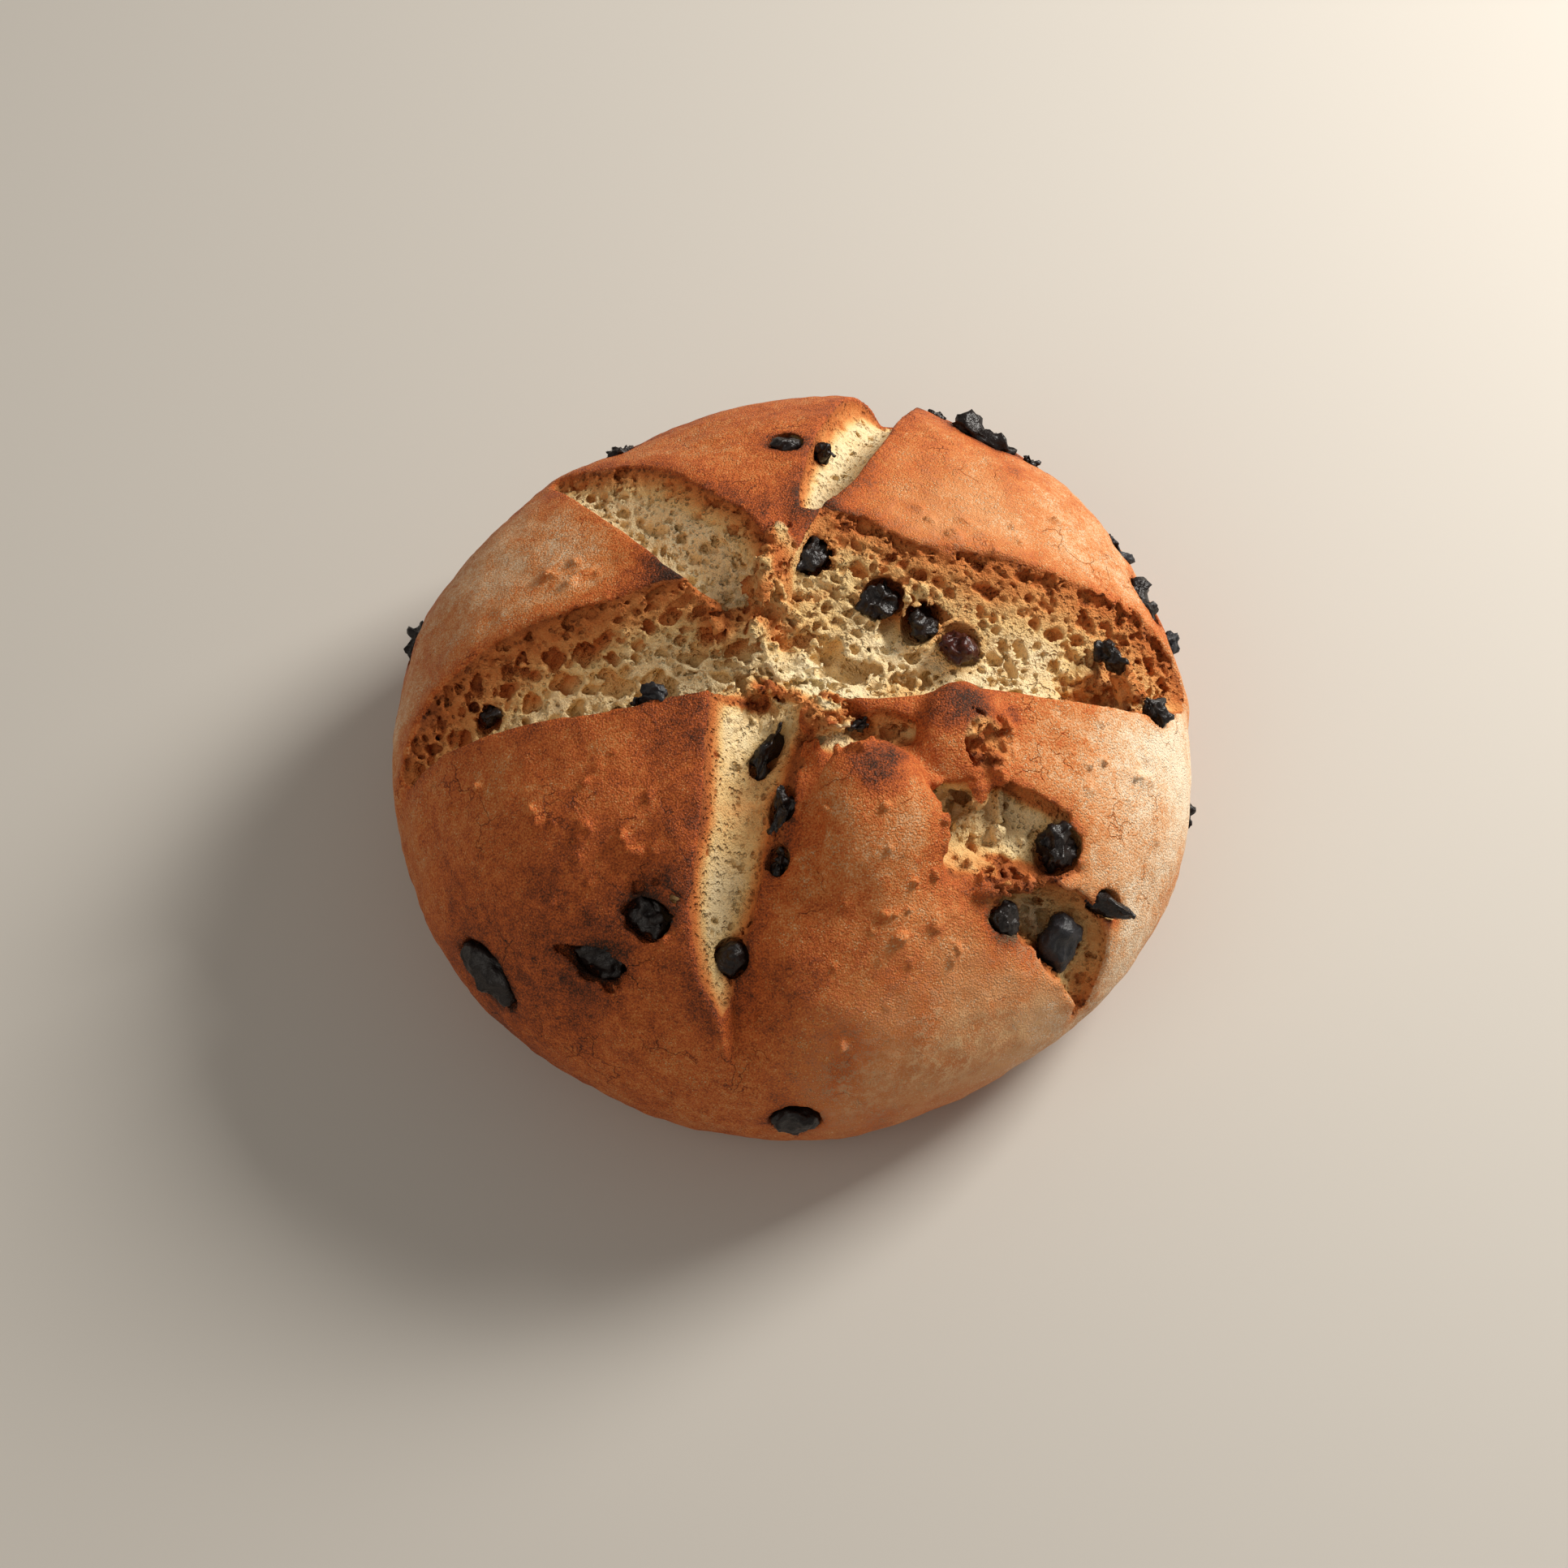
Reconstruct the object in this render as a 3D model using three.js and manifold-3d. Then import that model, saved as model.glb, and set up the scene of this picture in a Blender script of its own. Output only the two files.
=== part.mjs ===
// A round raisin loaf with a star of six scored cuts, standing on its flat base.
// Millimetres, +Z up. The loaf is one baked solid and each raisin that shows is a solid of its own.
import * as THREE from "three";
import { mergeVertices } from "three/addons/utils/BufferGeometryUtils.js";
import Module from "manifold-3d";

// Driving dimensions of the loaf: a dome over a rounded underside, seen from a core point inside it
const CORE = new THREE.Vector3(-0.4, -0.4, 27);
const LOAF = { radius: 90, rise: 56, drop: 46, squareness: 2.15, faceRings: 11 };

// How far the plan outline swells: waves round the loaf, share of the radius
const OUTLINE_WAVES = [
  { count: 1, share: 0.008, peakDeg: 52 },
  { count: 2, share: 0.017, peakDeg: 33 },
  { count: 3, share: 0.008, peakDeg: 56 },
  { count: 4, share: 0.009, peakDeg: -20 },
  { count: 6, share: 0.007, peakDeg: -25 },
];

// The crust map lays the crust out flat: (u, v) is the tilt away from straight up, along its bearing
const MAP_SCALE = 80; // millimetres of map for a radian of tilt

// Cuts of the star, from the middle outwards. Stations run along the spine, depths are below the crust.
// deepest is where the floor lies lowest, from -1 at the right bank to 1 at the left bank.
// wall is the share of the depth that drops straight at the [left, right] banks, lift raises their rims.
const CUTS = [
  {
    name: "middle",
    spine: [[-24, 4], [-6, 2], [14, 4]],
    half: [15, 20, 20],
    depth: [10, 11, 10.5],
    deepest: 0, wall: [0.6, 0.6], lift: [0, 0],
  },
  {
    name: "left",
    spine: [[-8, 3], [-30, 1], [-52, -1.5], [-74, -4], [-92, -9.5], [-107, -19]],
    half: [16, 18.5, 17, 13.5, 9, 2],
    depth: [11, 14, 17, 16, 11, 3],
    deepest: 0.55, wall: [0.5, 0.12], lift: [1, 2],
  },
  {
    name: "upper_left",
    spine: [[-14, 22], [-24, 34], [-34, 46], [-46, 57], [-58, 66], [-68, 74]],
    half: [10, 15, 13.5, 11.5, 7, 2],
    depth: [11, 13, 12, 10, 6, 2],
    deepest: 0.6, wall: [0.5, 0.08], lift: [1.2, 1.6],
  },
  {
    name: "top",
    spine: [[4, 46], [8, 55], [13, 66], [19, 82], [25, 98], [31, 118]],
    half: [2, 6, 8.5, 9, 9, 3],
    depth: [6, 10, 12, 12, 10, 3],
    deepest: 0, wall: [0.45, 0.45], lift: [0.8, 1.4],
  },
  {
    name: "right",
    spine: [[-3.4, 20], [18, 10.8], [40, 8], [58, 9.5], [78, 9], [96, 10], [112, 10]],
    half: [29, 29, 24.5, 21, 18, 14, 4],
    depth: [11, 13, 16, 17, 15, 11, 3],
    deepest: -0.5, wall: [0.06, 0.45], lift: [1.8, 1],
  },
  {
    name: "saddle",
    spine: [[3, -32], [14, -31.5], [26, -29], [36, -28]],
    half: [4, 5.5, 7, 4],
    depth: [4, 4.5, 5, 3],
    deepest: 0, wall: [0.1, 0.1], lift: [0, 0],
  },
  {
    name: "crater",
    spine: [[37.5, -50.5], [44, -51], [55, -50.5], [66, -49.5], [73, -48]],
    half: [8.5, 12, 12.5, 10.5, 6],
    depth: [7, 9, 11, 10, 6],
    deepest: 0.3, wall: [0.7, 0.35], lift: [0.8, 0.5],
  },
  {
    name: "lower_right",
    spine: [[55, -65], [66, -67.5], [77, -71], [87, -87]],
    half: [4, 8, 9.5, 2.5],
    depth: [5, 9, 10, 3],
    deepest: 0.2, wall: [0.5, 0.3], lift: [0.6, 0.6],
  },
  {
    name: "bottom",
    spine: [[-10, -14], [-10, -32], [-14, -52], [-18, -72], [-19, -86], [-17, -99]],
    half: [13, 14.5, 11.5, 8.5, 5, 1.5],
    depth: [11, 13, 11, 9, 6, 2],
    deepest: -0.45, wall: [0.12, 0.3], lift: [-4.5, 2],
  },
];
const CUT_STEPS = { along: 14, across: 5, clear: 14 };
const RIM_WIDTH = 11; // how far back from a cut its rim lift reaches
const RAGGED = { share: 0.028, turns: [1.7, 3.4] }; // how ragged the torn rims are, in waves along a cut

// Swellings of the crust: oven-spring mounds beside the middle, and the wedges' own crowns
const MOUNDS = [
  { name: "nose tip", at: [21, -43], reach: 7, height: 2.5 },
  { name: "nose", at: [23, -52], reach: 10, height: 3.5 },
  { name: "nose root", at: [25, -64], reach: 14, height: 3 },
  { name: "right knob", at: [47, -25], reach: 9, height: 2 },
  { name: "burnt tip", at: [-36, 25], reach: 10, height: 2.0 },
  { name: "sunken flank", at: [68, -74], reach: 9, height: -3.0 },
  { name: "nose foot", at: [40, -60], reach: 6, height: -1.5 },
  { name: "upper right crown", at: [50, 62], reach: 22, height: 1.5 },
  { name: "lower left crown", at: [-62, -55], reach: 26, height: 1.5 },
  { name: "lower crown", at: [22, -92], reach: 26, height: 1.8 },
];

// Knobs of crust and torn crumb left standing in the star
const KNOBS = [
  { at: [21.5, -47], depth: 3.5, size: [24, 24, 14] },
  { at: [24, -60], depth: 3.8, size: [27, 34, 12], turn: -4 },
  { at: [48, -27], depth: 3.4, size: [21, 23, 13], turn: 15 },
  { at: [11, -23.5], depth: 3.5, size: [9, 7, 9] },
  { at: [2, -24], depth: 9, size: [10, 6, 7] },
  { at: [-6, 27], depth: 6.5, size: [5, 24, 13], turn: 15 },
  { at: [96, 6], depth: 5, size: [8, 8, 7] },
  { at: [57, -63.5], depth: 4, size: [24, 5, 9], turn: 6 },
  { at: [53, -36], depth: 3, size: [11, 9, 9], turn: -20 },
];

// Gas cells torn open in the cuts
const CELLS = { perCut: 2, radius: [1.5, 3.4], seed: 7 };

// Raisins: place on the crust map, length, width and thickness, turn in degrees, depth of the middle
const RAISINS = [
  { at: [5.3, 39], size: [11, 11, 9], turn: 20, depth: 8 },
  { at: [30.7, 24], size: [9, 10.5, 8], turn: -50, depth: 9.5 },
  { at: [44.5, 19], size: [8, 13, 8], turn: -20, depth: 12.5 },
  { at: [56.5, 10.5], size: [11, 10, 8], turn: 15, depth: 12 },
  { at: [72.5, -50.5], size: [11, 11.5, 9], turn: -25, depth: 3.5 },
  { at: [77, -73], size: [10, 14, 9], turn: 20, depth: 4.5 },
  { at: [57.5, -70.5], size: [9, 7, 6], turn: -30, depth: 1.6 },
  { at: [85, -59], size: [8, 5.5, 14], turn: -25, depth: 0.5 },
  { at: [-10, -36.5], size: [16, 5, 6], turn: 62, depth: 11 },
  { at: [-2.5, -54], size: [7, 12, 8], turn: 8, depth: 4.5 },
  { at: [-4.2, -67], size: [5, 9, 6], turn: 0, depth: 3 },
  { at: [-17.5, -87], size: [8.5, 9, 7.5], turn: 10, depth: 4.5 },
  { at: [21, -27.5], size: [5.5, 5, 5], turn: 0, depth: 3.8 },
  { at: [-43, -16.3], size: [10, 4, 5], turn: 8, depth: 2.0 },
  { at: [-38.3, -73.1], size: [11, 9, 7], turn: -12, depth: 2.6 },
  { at: [-52.4, -80], size: [13, 10, 7], turn: -20, depth: 4.2 },
  { at: [-86.4, -75.6], size: [11, 17, 8], turn: 30, depth: 0.6 },
  { at: [0.6, -121.8], size: [11, 9, 7], turn: -5, depth: 1.0 },
  { at: [-2.3, 73.5], size: [8, 9, 6], turn: 15, depth: 1.2 },
  { at: [52.6, 83.2], size: [16, 13, 7], turn: -12, depth: 0.6 },
  { at: [67.3, 81.6], size: [8, 6, 5], turn: 10, depth: 0.6 },
  { at: [40, 94.4], size: [7, 6, 5], turn: 0, depth: 0.8 },
  { at: [93.8, 57.9], size: [8, 8, 6], turn: 0, depth: 1.6 },
  { at: [99, 35], size: [9, 16, 7], turn: 10, depth: 1.2 },
  { at: [107, 27], size: [7, 11, 6], turn: 20, depth: 1.0 },
  { at: [90, 11], size: [8, 8, 7], turn: 0, depth: 4.5 },
  { at: [98, -2.5], size: [11, 7, 6], turn: -10, depth: 1.4 },
  { at: [9.5, 76], size: [5, 7, 5], turn: 20, depth: 5.5 },
  { at: [-92, -6], size: [6, 6, 5], turn: 40, depth: 11 },
  { at: [-52, 88], size: [9, 8, 7], turn: 30, depth: 1.4 },
  { at: [8, 122], size: [12, 9, 7], turn: -8, depth: 1.2 },
  { at: [-112, 34], size: [10, 12, 7], turn: 15, depth: 1.3 },
  { at: [-84, 92], size: [9, 7, 6], turn: 50, depth: 1.2 },
  { at: [88, 100], size: [10, 8, 7], turn: -40, depth: 1.2 },
  { at: [128, -18], size: [8, 11, 6], turn: 5, depth: 1.1 },
];
const RAISIN_RINGS = 1; // subdivision of each raisin's facets
const RAISIN_WRINKLE = 0.1; // share of its radius
const SEAT_GAP = 0.35; // between a raisin and the crumb round it

const CRUST_FINISH = new THREE.MeshStandardMaterial({ color: 0xb5713f, roughness: 0.75, metalness: 0 });
const RAISIN_FINISH = new THREE.MeshStandardMaterial({ color: 0x1b1512, roughness: 0.4, metalness: 0 });

// Random numbers between 0 and 1 from a fixed seed
function seeded(seed) {
  let state = seed >>> 0;
  return () => {
    state = (Math.imul(state, 1664525) + 1013904223) >>> 0;
    return state / 2 ** 32;
  };
}

// The direction from the core through a place on the crust map, and back
function directionAt(u, v) {
  const tilt = Math.hypot(u, v) / MAP_SCALE;
  const bearing = Math.atan2(v, u);
  return new THREE.Vector3(
    Math.sin(tilt) * Math.cos(bearing),
    Math.sin(tilt) * Math.sin(bearing),
    Math.cos(tilt),
  );
}

function mapOf(direction) {
  const reach = MAP_SCALE * Math.acos(THREE.MathUtils.clamp(direction.z, -1, 1));
  const bearing = Math.atan2(direction.y, direction.x);
  return [reach * Math.cos(bearing), reach * Math.sin(bearing)];
}

// Distance from the core to the plain dome, before mounds and rims
function domeRadius(direction) {
  const flat = Math.hypot(direction.x, direction.y);
  const half = direction.z >= 0 ? LOAF.rise : LOAF.drop;
  const power = LOAF.squareness;
  const plain = ((flat / LOAF.radius) ** power + (Math.abs(direction.z) / half) ** power) ** (-1 / power);
  const bearing = Math.atan2(direction.y, direction.x);
  const swell = OUTLINE_WAVES.reduce(
    (sum, w) => sum + w.share * Math.cos(w.count * (bearing - THREE.MathUtils.degToRad(w.peakDeg))),
    0,
  );
  return plain * (1 + swell * flat ** 2);
}

// Curves of a cut: its spine on the crust map, and its half width and depth at the same stations
const CURVES = new Map(
  CUTS.map((cut) => [
    cut,
    {
      spine: new THREE.SplineCurve(cut.spine.map(([u, v]) => new THREE.Vector2(u, v))),
      size: new THREE.SplineCurve(cut.half.map((half, i) => new THREE.Vector2(half, cut.depth[i]))),
    },
  ]),
);

// How deep a cut's floor lies at a station and from bank (-1) to bank (1)
function floorDepth(cut, station, side) {
  const depth = CURVES.get(cut).size.getPoint(station).y;
  const reach = side > cut.deepest ? 1 - cut.deepest : 1 + cut.deepest;
  const off = Math.abs(side - cut.deepest) / reach;
  const wall = cut.wall[side > cut.deepest ? 0 : 1];
  return depth * (wall + (1 - wall) * (1 - off ** 2));
}

// Raggedness of a bank, worked out from the station alone
function ragged(station, side) {
  const [slow, fast] = RAGGED.turns;
  const turn = 2 * Math.PI * station + (side > 0 ? 1.3 : 4.1);
  return 1 + RAGGED.share * (Math.sin(slow * turn) + 0.6 * Math.sin(fast * turn + 0.8));
}

// The nearest station of a cut to a place on the map, with its side (-1 to 1 between the banks)
const SPINE_SAMPLES = 60;
function nearestStation(cut, u, v) {
  const { spine, size } = CURVES.get(cut);
  const place = new THREE.Vector2(u, v);
  let best = { distance: Infinity };
  for (let i = 0; i <= SPINE_SAMPLES; i++) {
    const station = i / SPINE_SAMPLES;
    const point = spine.getPoint(station);
    const distance = point.distanceTo(place);
    if (distance < best.distance) best = { distance, station, point };
  }
  const along = spine.getTangent(best.station);
  const offset = (u - best.point.x) * -along.y + (v - best.point.y) * along.x;
  const half = size.getPoint(best.station).x * ragged(best.station, offset);
  return { station: best.station, side: offset / half, bank: best.distance - half };
}

// Lift of the crust beside the cuts and on the mounds
function relief(u, v) {
  let height = 0;
  for (const mound of MOUNDS) {
    const off = Math.hypot(u - mound.at[0], v - mound.at[1]) / mound.reach;
    height += mound.height * Math.exp(-(off ** 2));
  }
  const lifts = CUTS.map((cut) => {
    const { bank, side } = nearestStation(cut, u, v);
    const lift = THREE.MathUtils.lerp(cut.lift[1], cut.lift[0], THREE.MathUtils.smoothstep(side, -1, 1));
    return lift * Math.exp(-((Math.max(bank, 0) / RIM_WIDTH) ** 2));
  });
  return height + Math.max(0, ...lifts) + Math.min(0, ...lifts);
}

// A point at a depth under the crust
function underCrust(u, v, depth) {
  const direction = directionAt(u, v);
  const radius = domeRadius(direction) + relief(u, v) - depth;
  return direction.multiplyScalar(radius).add(CORE);
}

// Moves each vertex of a geometry, keeping only its merged positions
function reshape(geometry, move) {
  geometry.deleteAttribute("normal");
  geometry.deleteAttribute("uv");
  const merged = mergeVertices(geometry, 1e-4);
  const position = merged.getAttribute("position");
  const point = new THREE.Vector3();
  for (let i = 0; i < position.count; i++) {
    point.fromBufferAttribute(position, i);
    const moved = move(point);
    position.setXYZ(i, moved.x, moved.y, moved.z);
  }
  return merged;
}

const wasm = await Module();
wasm.setup();

function solidOf(geometry) {
  const vertProperties = geometry.getAttribute("position").array;
  const triVerts = new Uint32Array(geometry.index.array);
  return new wasm.Manifold(new wasm.Mesh({ numProp: 3, vertProperties, triVerts }));
}

function geometryOf(solid) {
  const { vertProperties, triVerts } = solid.getMesh();
  const geometry = new THREE.BufferGeometry();
  geometry.setAttribute("position", new THREE.BufferAttribute(vertProperties, 3));
  geometry.setIndex(new THREE.BufferAttribute(triVerts, 1));
  return geometry;
}

function largestBody(solid) {
  return solid.decompose().reduce((a, b) => (a.volume() > b.volume() ? a : b));
}

// The whole crust: a ball of even facets moved out to the dome, mounds and rims
function crustSolid() {
  const ball = new THREE.IcosahedronGeometry(1, LOAF.faceRings);
  const shaped = reshape(ball, (point) => {
    const direction = point.clone().normalize();
    const [u, v] = mapOf(direction);
    const radius = domeRadius(direction) + relief(u, v);
    return direction.multiplyScalar(radius).add(CORE);
  });
  return solidOf(shaped);
}

// The space that a cut opens: a box laid along the spine, its underside shaped to the floor
function cutSolid(cut) {
  const { along, across, clear } = CUT_STEPS;
  const { spine, size } = CURVES.get(cut);
  const box = new THREE.BoxGeometry(1, 2, 1, along, across, 1);
  const shaped = reshape(box, (corner) => {
    const station = corner.x + 0.5;
    const side = corner.y;
    const middle = spine.getPoint(station);
    const tangent = spine.getTangent(station);
    const half = size.getPoint(station).x * ragged(station, side);
    const u = middle.x - tangent.y * half * side;
    const v = middle.y + tangent.x * half * side;
    const depth = corner.z < 0 ? floorDepth(cut, station, side) : -clear;
    return underCrust(u, v, depth);
  });
  return solidOf(shaped);
}

// The depth of the opened surface at a place: the deepest cut that covers it
function openedDepth(u, v) {
  return CUTS.reduce((deepest, cut) => {
    const { station, side, bank } = nearestStation(cut, u, v);
    return bank < 0 ? Math.max(deepest, floorDepth(cut, station, side)) : deepest;
  }, 0);
}

// A lump on three half axes, laid on the crust map with its middle at a depth
function lump({ at, size, turn = 0, depth }, rings, grow, wrinkle, seed) {
  const [u, v] = at;
  const up = directionAt(u, v);
  const east = new THREE.Vector3(-up.y, up.x, 0).normalize();
  const along = Math.abs(up.z) > 0.999 ? new THREE.Vector3(1, 0, 0) : east;
  const bearing = Math.atan2(v, u) + Math.PI / 2;
  const angle = THREE.MathUtils.degToRad(turn) - bearing;
  const first = along.clone().applyAxisAngle(up, angle);
  const second = up.clone().cross(first);
  const middle = underCrust(u, v, depth);
  const half = size.map((full) => full / 2 + grow);
  return reshape(new THREE.IcosahedronGeometry(1, rings), (p) => {
    const fold = Math.sin(5 * p.x + seed) * Math.cos(4 * p.y - seed) + 0.5 * Math.sin(7 * p.z + 2 * seed);
    const pull = 1 + wrinkle * fold;
    return middle
      .clone()
      .addScaledVector(first, p.x * half[0] * pull)
      .addScaledVector(second, p.y * half[1] * pull)
      .addScaledVector(up, p.z * half[2] * pull);
  });
}

function raisinGeometry(raisin, index, grow) {
  return lump(raisin, RAISIN_RINGS, grow, RAISIN_WRINKLE, index + 1);
}

// Cells along every cut's walls and floor, drawn by a fixed seed
function cellSolids() {
  const draw = seeded(CELLS.seed);
  return CUTS.flatMap((cut) =>
    Array.from({ length: CELLS.perCut }, () => {
      const station = 0.12 + 0.75 * draw();
      const side = 1.5 * draw() - 0.75;
      const middle = CURVES.get(cut).spine.getPoint(station);
      const tangent = CURVES.get(cut).spine.getTangent(station);
      const half = CURVES.get(cut).size.getPoint(station).x;
      const at = [middle.x - tangent.y * half * side, middle.y + tangent.x * half * side];
      const [least, most] = CELLS.radius;
      const size = [1, 1, 1].map(() => 2 * (least + (most - least) * draw() ** 2));
      return solidOf(lump({ at, size, turn: 180 * draw(), depth: openedDepth(...at) }, 0, 0, 0, 0));
    }),
  );
}

// Everything under the base plane, where the loaf is flat
function belowBase() {
  const size = 4 * LOAF.radius;
  const block = new THREE.BoxGeometry(size, size, size).translate(0, 0, -size / 2);
  return solidOf(reshape(block, (point) => point));
}

function loafGeometry() {
  let loaf = crustSolid();
  for (const cut of CUTS) loaf = loaf.subtract(cutSolid(cut));
  for (const [i, knob] of KNOBS.entries()) loaf = loaf.add(solidOf(lump(knob, 2, 0, 0.12, i)));
  for (const cell of cellSolids()) loaf = loaf.subtract(cell);
  RAISINS.forEach((raisin, i) => {
    loaf = loaf.subtract(solidOf(raisinGeometry(raisin, i, SEAT_GAP)));
  });
  return geometryOf(largestBody(loaf.subtract(belowBase())));
}

const raisinLoaf = new THREE.Group();
const loaf = new THREE.Mesh(loafGeometry(), CRUST_FINISH);
loaf.name = "loaf";
raisinLoaf.add(loaf);

RAISINS.forEach((raisin, i) => {
  const mesh = new THREE.Mesh(raisinGeometry(raisin, i, 0), RAISIN_FINISH);
  mesh.name = `raisin_${String(i + 1).padStart(2, "0")}`;
  raisinLoaf.add(mesh);
});

export default raisinLoaf;
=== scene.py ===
"""A round raisin loaf with a star of scored cuts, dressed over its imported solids.

The loaf and its raisins stand on a plain pale floor in soft studio light. Lengths in this file are in
millimetres until a mesh is written, because the loaf's driving dimensions are; MM turns them to metres,
and FAR is farther than anything in the loaf lies from its surface.
"""

import logging
import math
from dataclasses import dataclass, field
from enum import Enum

import bpy
import numpy as np
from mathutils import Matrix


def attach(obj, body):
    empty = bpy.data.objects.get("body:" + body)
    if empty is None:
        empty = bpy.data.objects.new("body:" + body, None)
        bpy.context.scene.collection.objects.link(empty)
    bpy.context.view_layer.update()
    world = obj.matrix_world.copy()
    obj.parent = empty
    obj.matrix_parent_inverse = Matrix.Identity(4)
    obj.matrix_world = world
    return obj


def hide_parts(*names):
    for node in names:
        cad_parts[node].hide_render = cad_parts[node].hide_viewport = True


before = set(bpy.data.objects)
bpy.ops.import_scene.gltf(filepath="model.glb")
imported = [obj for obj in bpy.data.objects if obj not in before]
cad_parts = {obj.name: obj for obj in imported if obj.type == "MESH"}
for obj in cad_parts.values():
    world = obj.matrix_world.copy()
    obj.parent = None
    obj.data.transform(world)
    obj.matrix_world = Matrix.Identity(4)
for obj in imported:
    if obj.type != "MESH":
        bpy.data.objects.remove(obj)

import openvdb
from mathutils import Matrix, Vector

Array = np.ndarray
MM = 0.001
FAR = 99.0
LOG = logging.getLogger("raisin_loaf")


def smoothstep(low: float, high: float, value: Array) -> Array:
    """Eases value from 0 at low to 1 at high."""
    t = np.clip((value - low) / (high - low), 0.0, 1.0)
    return t * t * (3.0 - 2.0 * t)


def catmull_rom(stations: Array, share: Array) -> Array:
    """Follows a smooth curve through stations.

    Args:
        stations: one row a station.
        share: places along the curve, from 0 to 1.

    Returns:
        One row a place.
    """
    last = len(stations) - 1
    place = np.clip(share, 0.0, 1.0) * last
    i = np.minimum(np.floor(place).astype(int), last - 1)
    t = (place - i)[..., None]
    p0, p1 = stations[np.maximum(i - 1, 0)], stations[i]
    p2, p3 = stations[i + 1], stations[np.minimum(i + 2, last)]
    v0, v1 = (p2 - p0) * 0.5, (p3 - p1) * 0.5
    return (2 * p1 - 2 * p2 + v0 + v1) * t**3 + (-3 * p1 + 3 * p2 - 2 * v0 - v1) * t**2 + v0 * t + p1


class Noise:
    """Smooth random values in space, the same on every run."""

    SIDE = 32

    def __init__(self, seed: int) -> None:
        """Draws the lattice from a fixed seed."""
        self.lattice = np.random.default_rng(seed).uniform(-1.0, 1.0, self.SIDE**3).astype(np.float32)

    def at(self, points: Array, grain: float) -> Array:
        """Reads the noise.

        Args:
            points: one row a point, in millimetres.
            grain: size of the noise's cells, in millimetres.

        Returns:
            One value a point, about -1 to 1.
        """
        q = points / grain
        low = np.floor(q)
        t = (q - low).astype(np.float32)
        t = t * t * (3.0 - 2.0 * t)
        low = low.astype(np.int64)
        mask = self.SIDE - 1
        total = np.zeros(len(points), np.float32)
        for dx in (0, 1):
            wx = t[:, 0] if dx else 1.0 - t[:, 0]
            ix = ((low[:, 0] + dx) & mask) * self.SIDE
            for dy in (0, 1):
                wy = t[:, 1] if dy else 1.0 - t[:, 1]
                iy = (ix + ((low[:, 1] + dy) & mask)) * self.SIDE
                for dz in (0, 1):
                    wz = t[:, 2] if dz else 1.0 - t[:, 2]
                    total += wx * wy * wz * self.lattice[iy + ((low[:, 2] + dz) & mask)]
        return total

    def layered(self, points: Array, grain: float, layers: int = 3) -> Array:
        """Adds finer and weaker layers of the noise to a coarse one."""
        return sum(self.at(points + 17.3 * k, grain / 2**k) * 0.5**k for k in range(layers))


def srgb(red: int, green: int, blue: int) -> tuple[float, float, float, float]:
    """Turns a display colour into the shader's linear one.

    Args:
        red: red from 0 to 255.
        green: green from 0 to 255.
        blue: blue from 0 to 255.

    Returns:
        Linear red, green and blue, and full opacity.
    """
    def linear(value: int) -> float:
        """One channel's linear value."""
        part = value / 255
        return part / 12.92 if part <= 0.04045 else ((part + 0.055) / 1.055) ** 2.4

    return linear(red), linear(green), linear(blue), 1.0


Number = "Flow | float"


@dataclass(frozen=True)
class Flow:
    """A shader socket that can be reckoned with like a number."""

    tree: "ShaderTree"
    socket: bpy.types.NodeSocket

    def _math(self, operation: str, first: "Number", second: "Number") -> "Flow":
        """Adds a Math node."""
        return self.tree.node("ShaderNodeMath", {"operation": operation}, {0: first, 1: second})

    def __add__(self, other: "Number") -> "Flow":
        """This plus another value."""
        return self._math("ADD", self, other)

    def __radd__(self, other: float) -> "Flow":
        """A number plus this."""
        return self._math("ADD", other, self)

    def __sub__(self, other: "Number") -> "Flow":
        """This less another value."""
        return self._math("SUBTRACT", self, other)

    def __rsub__(self, other: float) -> "Flow":
        """A number less this."""
        return self._math("SUBTRACT", other, self)

    def __mul__(self, other: "Number") -> "Flow":
        """This times another value."""
        return self._math("MULTIPLY", self, other)

    def __rmul__(self, other: float) -> "Flow":
        """A number times this."""
        return self._math("MULTIPLY", other, self)

    def ease(self, low: float, high: float) -> "Flow":
        """Eases between two values.

        Args:
            low: where the result is 0, the larger of the two where it falls.
            high: where it is 1.

        Returns:
            A value from 0 to 1.
        """
        down = low > high
        ends = {"From Min": min(low, high), "From Max": max(low, high)}
        span = {"Value": self, **ends, "To Min": float(down), "To Max": float(not down)}
        return self.tree.node("ShaderNodeMapRange", {"interpolation_type": "SMOOTHSTEP"}, span)

    def ramp(self, stops: "list[tuple[float, tuple[int, int, int]]]") -> "Flow":
        """Turns a value into a colour.

        Args:
            stops: places from 0 to 1, each with its display colour.

        Returns:
            The colour.
        """
        flow = self.tree.node("ShaderNodeValToRGB", {}, {"Fac": self})
        elements = flow.socket.node.color_ramp.elements
        elements.remove(elements[1])
        for i, (place, colour) in enumerate(stops):
            element = elements[0] if i == 0 else elements.new(place)
            element.position, element.color = place, srgb(*colour)
        return flow


class CellMeasure(Enum):
    """What is measured in a pattern of random cells: the way from a cell's middle, or to its edge."""

    MIDDLE = "F1"
    EDGE = "DISTANCE_TO_EDGE"


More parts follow.
